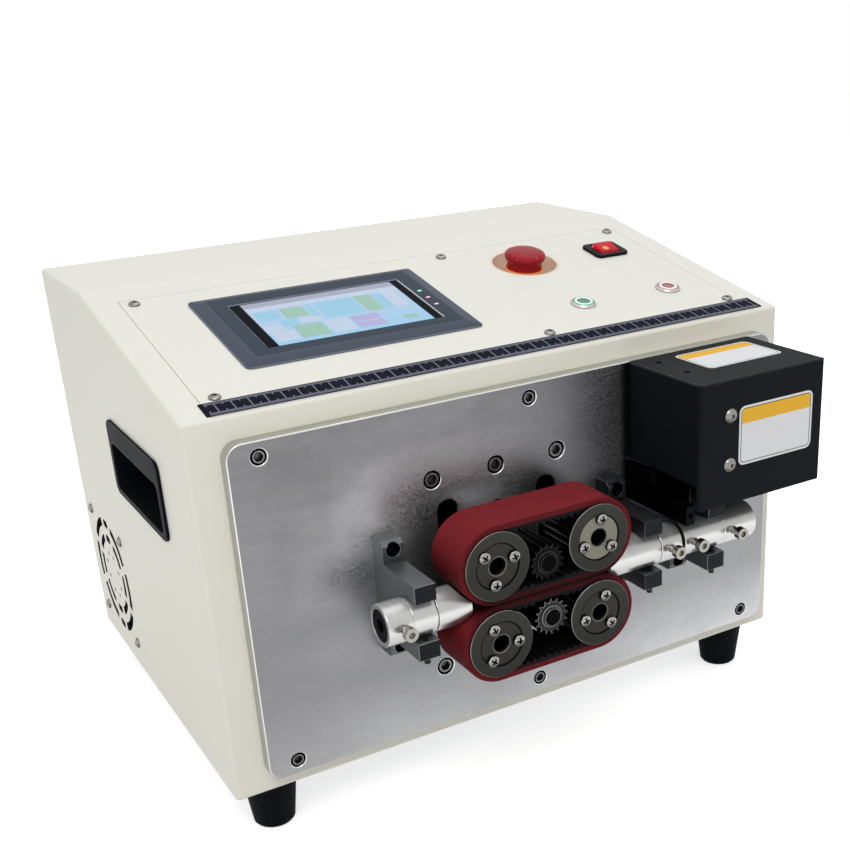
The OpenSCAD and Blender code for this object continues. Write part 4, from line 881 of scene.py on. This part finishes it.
def round_bezel(work):
    """Pulls the bezel's outer corners in to arcs of 5 mm."""
    middle, half, radius = (-75.0, 105.0), (82.0, 55.0), 5.0
    axes = (Vector((1, 0, 0)), Vector((0, math.cos(SLOPE), math.sin(SLOPE))))
    for axis, centre, reach in zip(axes, middle, half):
        for side in (-1, 1):
            at = on_slope(0, 0) + axis * (centre + side * (reach - radius)) * MM
            every = work.verts[:] + work.edges[:] + work.faces[:]
            bmesh.ops.bisect_plane(work, geom=every, plane_co=at, plane_no=axis)
    for vert in work.verts:
        place = (vert.co - on_slope(0, 0)) / MM
        out = [place.dot(axis) - centre for axis, centre in zip(axes, middle)]
        over = [abs(value) - (reach - radius) for value, reach in zip(out, half)]
        length = math.hypot(*over)
        if min(over) > 0 and length > radius:
            for value, axis, much in zip(out, axes, over):
                vert.co -= axis * math.copysign(much * (1 - radius / length), value) * MM


# Turns in degrees: what counts as flat, as an edge to break, and as smooth on the brackets and elsewhere
FLAT_TURN, EDGE_TURN, BRACKET_TURN, SMOOTH_TURN = 0.3, 35.0, 35.0, 50.0


def dress(node, finish, width, edge=None, segments=1, where=None):
    """Takes the node's place with a copy whose outer edges are broken by width in mm, in edge's finish."""
    mesh = nodes[node].data.copy()
    mesh.materials.clear()
    for material in (finish, edge or finish):
        mesh.materials.append(material)
    work = bmesh.new()
    work.from_mesh(mesh)
    for face in work.faces:
        face.material_index = 0
    bmesh.ops.remove_doubles(work, verts=work.verts, dist=0.002 * MM)
    bmesh.ops.dissolve_limit(work, angle_limit=math.radians(FLAT_TURN), verts=work.verts, edges=work.edges)
    outer = [e for e in work.edges
             if len(e.link_faces) == 2 and e.is_convex and e.calc_face_angle() > math.radians(EDGE_TURN)]
    if where:
        outer = [e for e in outer if where((e.verts[0].co + e.verts[1].co) / 2 / MM, e.calc_length() / MM)]
    if width:
        bmesh.ops.bevel(work, geom=outer, offset=width * MM, segments=segments, profile=0.5, affect="EDGES",
                        clamp_overlap=False, material=1, miter_outer="ARC" if segments > 1 else "SHARP")
    if node == "hmi_bezel":
        round_bezel(work)
    work.to_mesh(mesh)
    work.free()
    piece = link(node + "_dressed", mesh)
    take_shape(piece, BRACKET_TURN if "bracket" in node else SMOOTH_TURN)
    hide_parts(node)
    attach(piece, nodes[node]["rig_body"])
    slot_of(node)
    return piece


def small_lamp(name, x, s, finish):
    """Low rounded lens on the operator panel's rim, at a place in mm on the slope."""
    half_x, half_s, radius = 1.2, 0.45, 0.35
    levels = ((1.0, 3.2), (1.0, 3.75), (0.86, 3.95), (0.5, 4.02))
    rim = []
    for quarter, (side_x, side_s) in enumerate(((1, 1), (-1, 1), (-1, -1), (1, -1))):
        for step in range(5):
            angle = math.radians(90 * quarter + 22.5 * step)
            out_x, out_s = radius * math.cos(angle), radius * math.sin(angle)
            rim.append((side_x * half_x + out_x, side_s * half_s + out_s))
    work = bmesh.new()
    rows = [[work.verts.new(on_slope(x + a * share, s + b * share, height)) for a, b in rim]
            for share, height in levels]
    for lower, upper in zip(rows, rows[1:]):
        for i in range(len(rim)):
            j = (i + 1) % len(rim)
            work.faces.new((lower[i], lower[j], upper[j], upper[i]))
    work.faces.new(rows[-1])
    work.faces.new(rows[0][::-1])
    mesh = bpy.data.meshes.new(name)
    work.to_mesh(mesh)
    work.free()
    mesh.materials.append(finish)
    mesh.shade_smooth()
    piece = link(name, mesh)
    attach(piece, nodes["hmi_bezel"]["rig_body"])
    slot_of("hmi_screen")


left_finish = bracket_material("grey_anodised_bracket", (0.17, 0.18, 0.192), (-105.6,))
right_finish = bracket_material("dark_anodised_bracket", (0.085, 0.093, 0.105), (59.2, 111.1), (76.3, 83.3))
guide_finish = guide_material()
bright_steel = case_screw_material()
start_lens = button_material("start_button_lens", (89.3, 56.8), (0.03, 0.17, 0.10), (0.012, 0.10, 0.055),
                             (0.05, 0.42, 0.26))
stop_lens = button_material("stop_button_lens", (162.1, 56.8), (0.22, 0.075, 0.075), (0.11, 0.035, 0.035),
                            (0.66, 0.20, 0.22))

PAINTED = {node: finish for finish, names in (
    (coat_material(), "housing_shell rear_panel slope_panel"), (zinc, "base_plate"),
    (plate_material(), "front_plate"), (bright_steel, "case_screws"), (dark_steel, "plate_screws"),
    (bezel_material(), "hmi_bezel"), (screen_material(), "hmi_screen"), (ruler_material(), "ruler_strip"),
    (well_material(), "estop_well"), (collar_material(), "estop_collar estop_plunger"),
    (estop_material(), "estop_head"), (rocker_material(), "rocker"), (ring_steel, "button_rings"),
    (start_lens, "start_button"), (stop_lens, "stop_button"), (handle_plastic, "side_handles"),
    (black_plastic, "rocker_frame fan_frame fan_impeller power_inlet"), (foot_rubber, "feet"),
    (shaded_inner_steel, "lower_axles upper_axles upper_carriage cover_bracket blade_carriage"),
    (inner_plate, "lower_motor_plate"), (motor_coat, "feed_motor_lower feed_motor_upper cutter_motor"),
    (turned_steel, "lift_rods slide_rail"), (spring_wire, "lift_springs"), (cover_material(), "blade_cover"),
    (left_finish, "left_bracket"), (right_finish, "right_brackets"), (guide_screw_material(), "guide_screws"),
    (guide_finish, "left_guide_tube right_guide_tube guide_collars"), (board_green, "electronics"),
    (gear_steel, "motor_gear_lower motor_gear_upper cutter_pinion"), (blade_material(), "blade"),
    (belt_material("belt_rubber_lower", LOWER_Z), "lower_belt"),
    (belt_material("belt_rubber_upper", UPPER_Z), "upper_belt")) for node in names.split()}

# Pulleys with their caps: how far each cap's screws are turned, in degrees, and the cap's colour
DARK_CAP, LIGHT_CAP = (0.028, 0.027, 0.022), (0.145, 0.14, 0.112)
CAPS = {"lower_left": (-25.0, DARK_CAP), "lower_right": (18.6, DARK_CAP), "upper_left": (-48.7, DARK_CAP),
        "upper_right": (10.4, LIGHT_CAP)}
for where, (turn, cap_color) in CAPS.items():
    middle = middle_of("pulley_" + where)
    turns = [math.radians(angle + turn) for angle in (30, 150, 270)]
    spots = [middle + Vector((math.cos(angle), 0.0, -math.sin(angle))) * SPOT_R * MM for angle in turns]
    PAINTED["pulley_" + where] = wheel_material("anodised_pulley_" + where, middle)
    PAINTED["cap_" + where] = cap_material("anodised_cap_" + where, cap_color, middle, spots)

# Feed pinions, the upper one painted darker as a shaded copy of the lower
for where, face in (("lower", (0.022, 0.022, 0.022)), ("upper", (0.005, 0.005, 0.0055))):
    node = "drive_pinion_" + where
    PAINTED[node] = pinion_material("pinion_steel_" + where, middle_of(node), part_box(node)[0].y, face)

for name in nodes:
    slots = nodes[name].data.materials
    slots.clear()
    slots.append(PAINTED[name])


# Which outer edges are broken, by an edge's middle and length in mm


def on_cover_corner(point, length):
    """Whether an edge lies on an outer corner of the cover, away from the rims of its sheet."""
    low, high = COVER_LOW / MM, COVER_HIGH / MM
    outer = (point.x - low.x < 0.1, high.x - point.x < 0.1, point.y - low.y < 0.1, high.z - point.z < 0.1)
    return sum(outer) >= 2


def on_guide_side(point, length):
    """Whether an edge lies on the set screws in the guides, not on the screws in the brackets' ears."""
    return point.y < FRONT_Y / MM - 24.0


def on_claw_edge(point, length):
    """Whether an edge is a claw's straight one, not a step of a bore's rim or the bar beside the blade."""
    return length > 2.2 and not 76.0 < point.x < 84.0


def on_wheel_rim(point, length):
    """Whether an edge lies on a belt wheel's outer rim, not round its cap."""
    middles = [(FEED_X + side * BELT_HALF, z) for side in (-1, 1) for z in (LOWER_Z, UPPER_Z)]
    return min(math.hypot(point.x - x / MM, point.z - z / MM) for x, z in middles) > 17.0


# Dressed pieces: width of the broken edges in mm, their finish, segments, and which edges
DRESSED = {
    "front_plate": (0.8, broken_edge, 1, None), "left_bracket": (0.3, grey_edge, 1, on_claw_edge),
    "right_brackets": (0.3, grey_edge, 1, on_claw_edge), "blade_cover": (1.2, cover_edge, 3, on_cover_corner),
    "hmi_bezel": (0.6, rim_material(), 1, None), "plate_screws": (0.6, shaded_inner_steel, 1, None),
    "case_screws": (0.2, bright_steel, 2, None), "guide_screws": (0.15, tooth_edge, 1, on_guide_side),
    "left_guide_tube": (0.3, guide_finish, 1, None), "right_guide_tube": (0.3, guide_finish, 1, None),
    "guide_collars": (0.3, guide_finish, 1, None), "drive_pinion_lower": (0.14, tooth_edge, 1, None),
    "drive_pinion_upper": (0.16, dull_edge, 1, None), "rocker_frame": (0.5, black_rim, 2, None),
    "button_rings": (0.3, ring_steel, 2, None), "estop_head": (0.4, None, 2, None),
    "fan_frame": (0.4, black_plastic, 1, None), "side_handles": (0.5, black_rim, 2, None)}
for where in CAPS:
    DRESSED["pulley_" + where] = (0.3, olive_edge, 1, on_wheel_rim)
    DRESSED["cap_" + where] = (0.3, None, 1, None)
for name, (width, edge, segments, chosen) in DRESSED.items():
    dress(name, PAINTED[name], width, edge, segments, chosen)

springs = dress("lift_springs", spring_wire, 0.0)
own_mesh(springs)

LAMP_X = -8.6
for name, s, color in (("power_lamp", 113.0, (0.25, 0.75, 0.35)), ("run_lamp", 100.8, (0.75, 0.35, 0.42)),
                       ("link_lamp", 88.5, (0.75, 0.35, 0.42))):
    small_lamp(name, LAMP_X, s, lamp_material(name + "_lens", color))


# Camera, lights and floor

CAMERA_AT = Vector((-0.3884, -0.77245, 0.4850))
YAW, PITCH, ROLL = math.radians(29.788), math.radians(23.405), -0.0495
FOCAL_PX, IMAGE_PX = 1248.97, 850
CENTRE_PX = (507.29, 544.22)


def place_camera():
    data = bpy.data.cameras.new("photo_camera")
    camera = link("photo_camera", data)
    forward = Vector((math.sin(YAW) * math.cos(PITCH), math.cos(YAW) * math.cos(PITCH), -math.sin(PITCH)))
    right = Vector((math.cos(YAW), -math.sin(YAW), 0.0))
    up = right.cross(forward)
    rolled_right = math.cos(ROLL) * right + math.sin(ROLL) * up
    rolled_up = math.cos(ROLL) * up - math.sin(ROLL) * right
    turn = Matrix((rolled_right, rolled_up, -forward)).transposed()
    camera.matrix_world = Matrix.Translation(CAMERA_AT) @ turn.to_4x4()
    data.sensor_fit = "HORIZONTAL"
    data.sensor_width = 36.0
    data.lens = FOCAL_PX / IMAGE_PX * data.sensor_width
    data.shift_x = (IMAGE_PX / 2 - CENTRE_PX[0]) / IMAGE_PX
    data.shift_y = (CENTRE_PX[1] - IMAGE_PX / 2) / IMAGE_PX
    data.clip_start = 0.01
    bpy.context.scene.camera = camera


def softbox(name, at, aim, size, watts, color=(1.0, 1.0, 1.0)):
    data = bpy.data.lights.new(name, "AREA")
    data.shape = "RECTANGLE"
    data.size, data.size_y = size
    data.energy = watts
    data.color = color
    lamp = link(name, data)
    lamp.location = at
    lamp.rotation_euler = (Vector(aim) - Vector(at)).to_track_quat("-Z", "Y").to_euler()


def seen_directly(tree):
    """1 for what the camera, gloss and glass look at."""
    path = {socket.name: Value(socket) for socket in tree.nodes.new("ShaderNodeLightPath").outputs}
    return most(most(path["Is Camera Ray"], path["Is Glossy Ray"]), path["Is Transmission Ray"])


def light_the_room():
    world = bpy.data.worlds.new("studio_air")
    bpy.context.scene.world = world
    world.use_nodes = True
    tree = world.node_tree
    ambient = tree.nodes["Background"]
    put_all(ambient.inputs, dict(Color=(0.96, 0.98, 1.0), Strength=0.51))
    white = add(tree, "ShaderNodeBackground", (1.0, 1.0, 1.0), 1.0)
    both = add(tree, "ShaderNodeMixShader", seen_directly(tree), Value(ambient.outputs[0]), white)
    put(tree.nodes["World Output"].inputs["Surface"], both)
    softbox("key_softbox", (-0.5, -1.1, 1.5), (0.0, 0.0, 0.15), (1.1, 0.8), 11.0, (1.0, 0.985, 0.955))
    softbox("top_softbox", (0.35, 0.2, 1.6), (0.0, 0.0, 0.2), (1.4, 1.2), 5.5)
    softbox("left_softbox", (-1.5, 0.1, 0.7), (0.0, 0.0, 0.15), (0.9, 1.1), 1.3, (1.0, 0.97, 0.93))


def lay_floor():
    """Pale floor just below the feet, which shows as white to whatever looks at it."""
    half = 3.0
    mesh = bpy.data.meshes.new("floor")
    corners = [(side_x * half, side_y * half, 0) for side_x, side_y in ((-1, -1), (1, -1), (1, 1), (-1, 1))]
    mesh.from_pydata(corners, [], [(0, 1, 2, 3)])
    floor = link("floor", mesh)
    floor.location.z = -0.2 * MM
    finish = Finish("pale_floor", (0.90, 0.90, 0.90), 0.95, Specular_IOR_Level=0.1)
    tree, plain = finish.tree, Value(finish.shader.outputs[0])
    glow = ramp(vector("LENGTH", finish.place, output="Value"), 0.2, 0.7, 0.55, 1.0)
    both = add(tree, "ShaderNodeAddShader", plain, add(tree, "ShaderNodeEmission", (1.0, 1.0, 1.0), glow))
    pick = add(tree, "ShaderNodeMixShader", seen_directly(tree), plain, both)
    put(tree.nodes["Material Output"].inputs["Surface"], pick)
    cloud = ramp(noise(finish.place, 3.0, 2.0), 0.3, 0.7)
    mesh.materials.append(finish.done(mix(cloud, (0.89, 0.89, 0.89), (0.91, 0.91, 0.91))))


place_camera()
light_the_room()
lay_floor()
bpy.context.scene.view_settings.view_transform = "Standard"
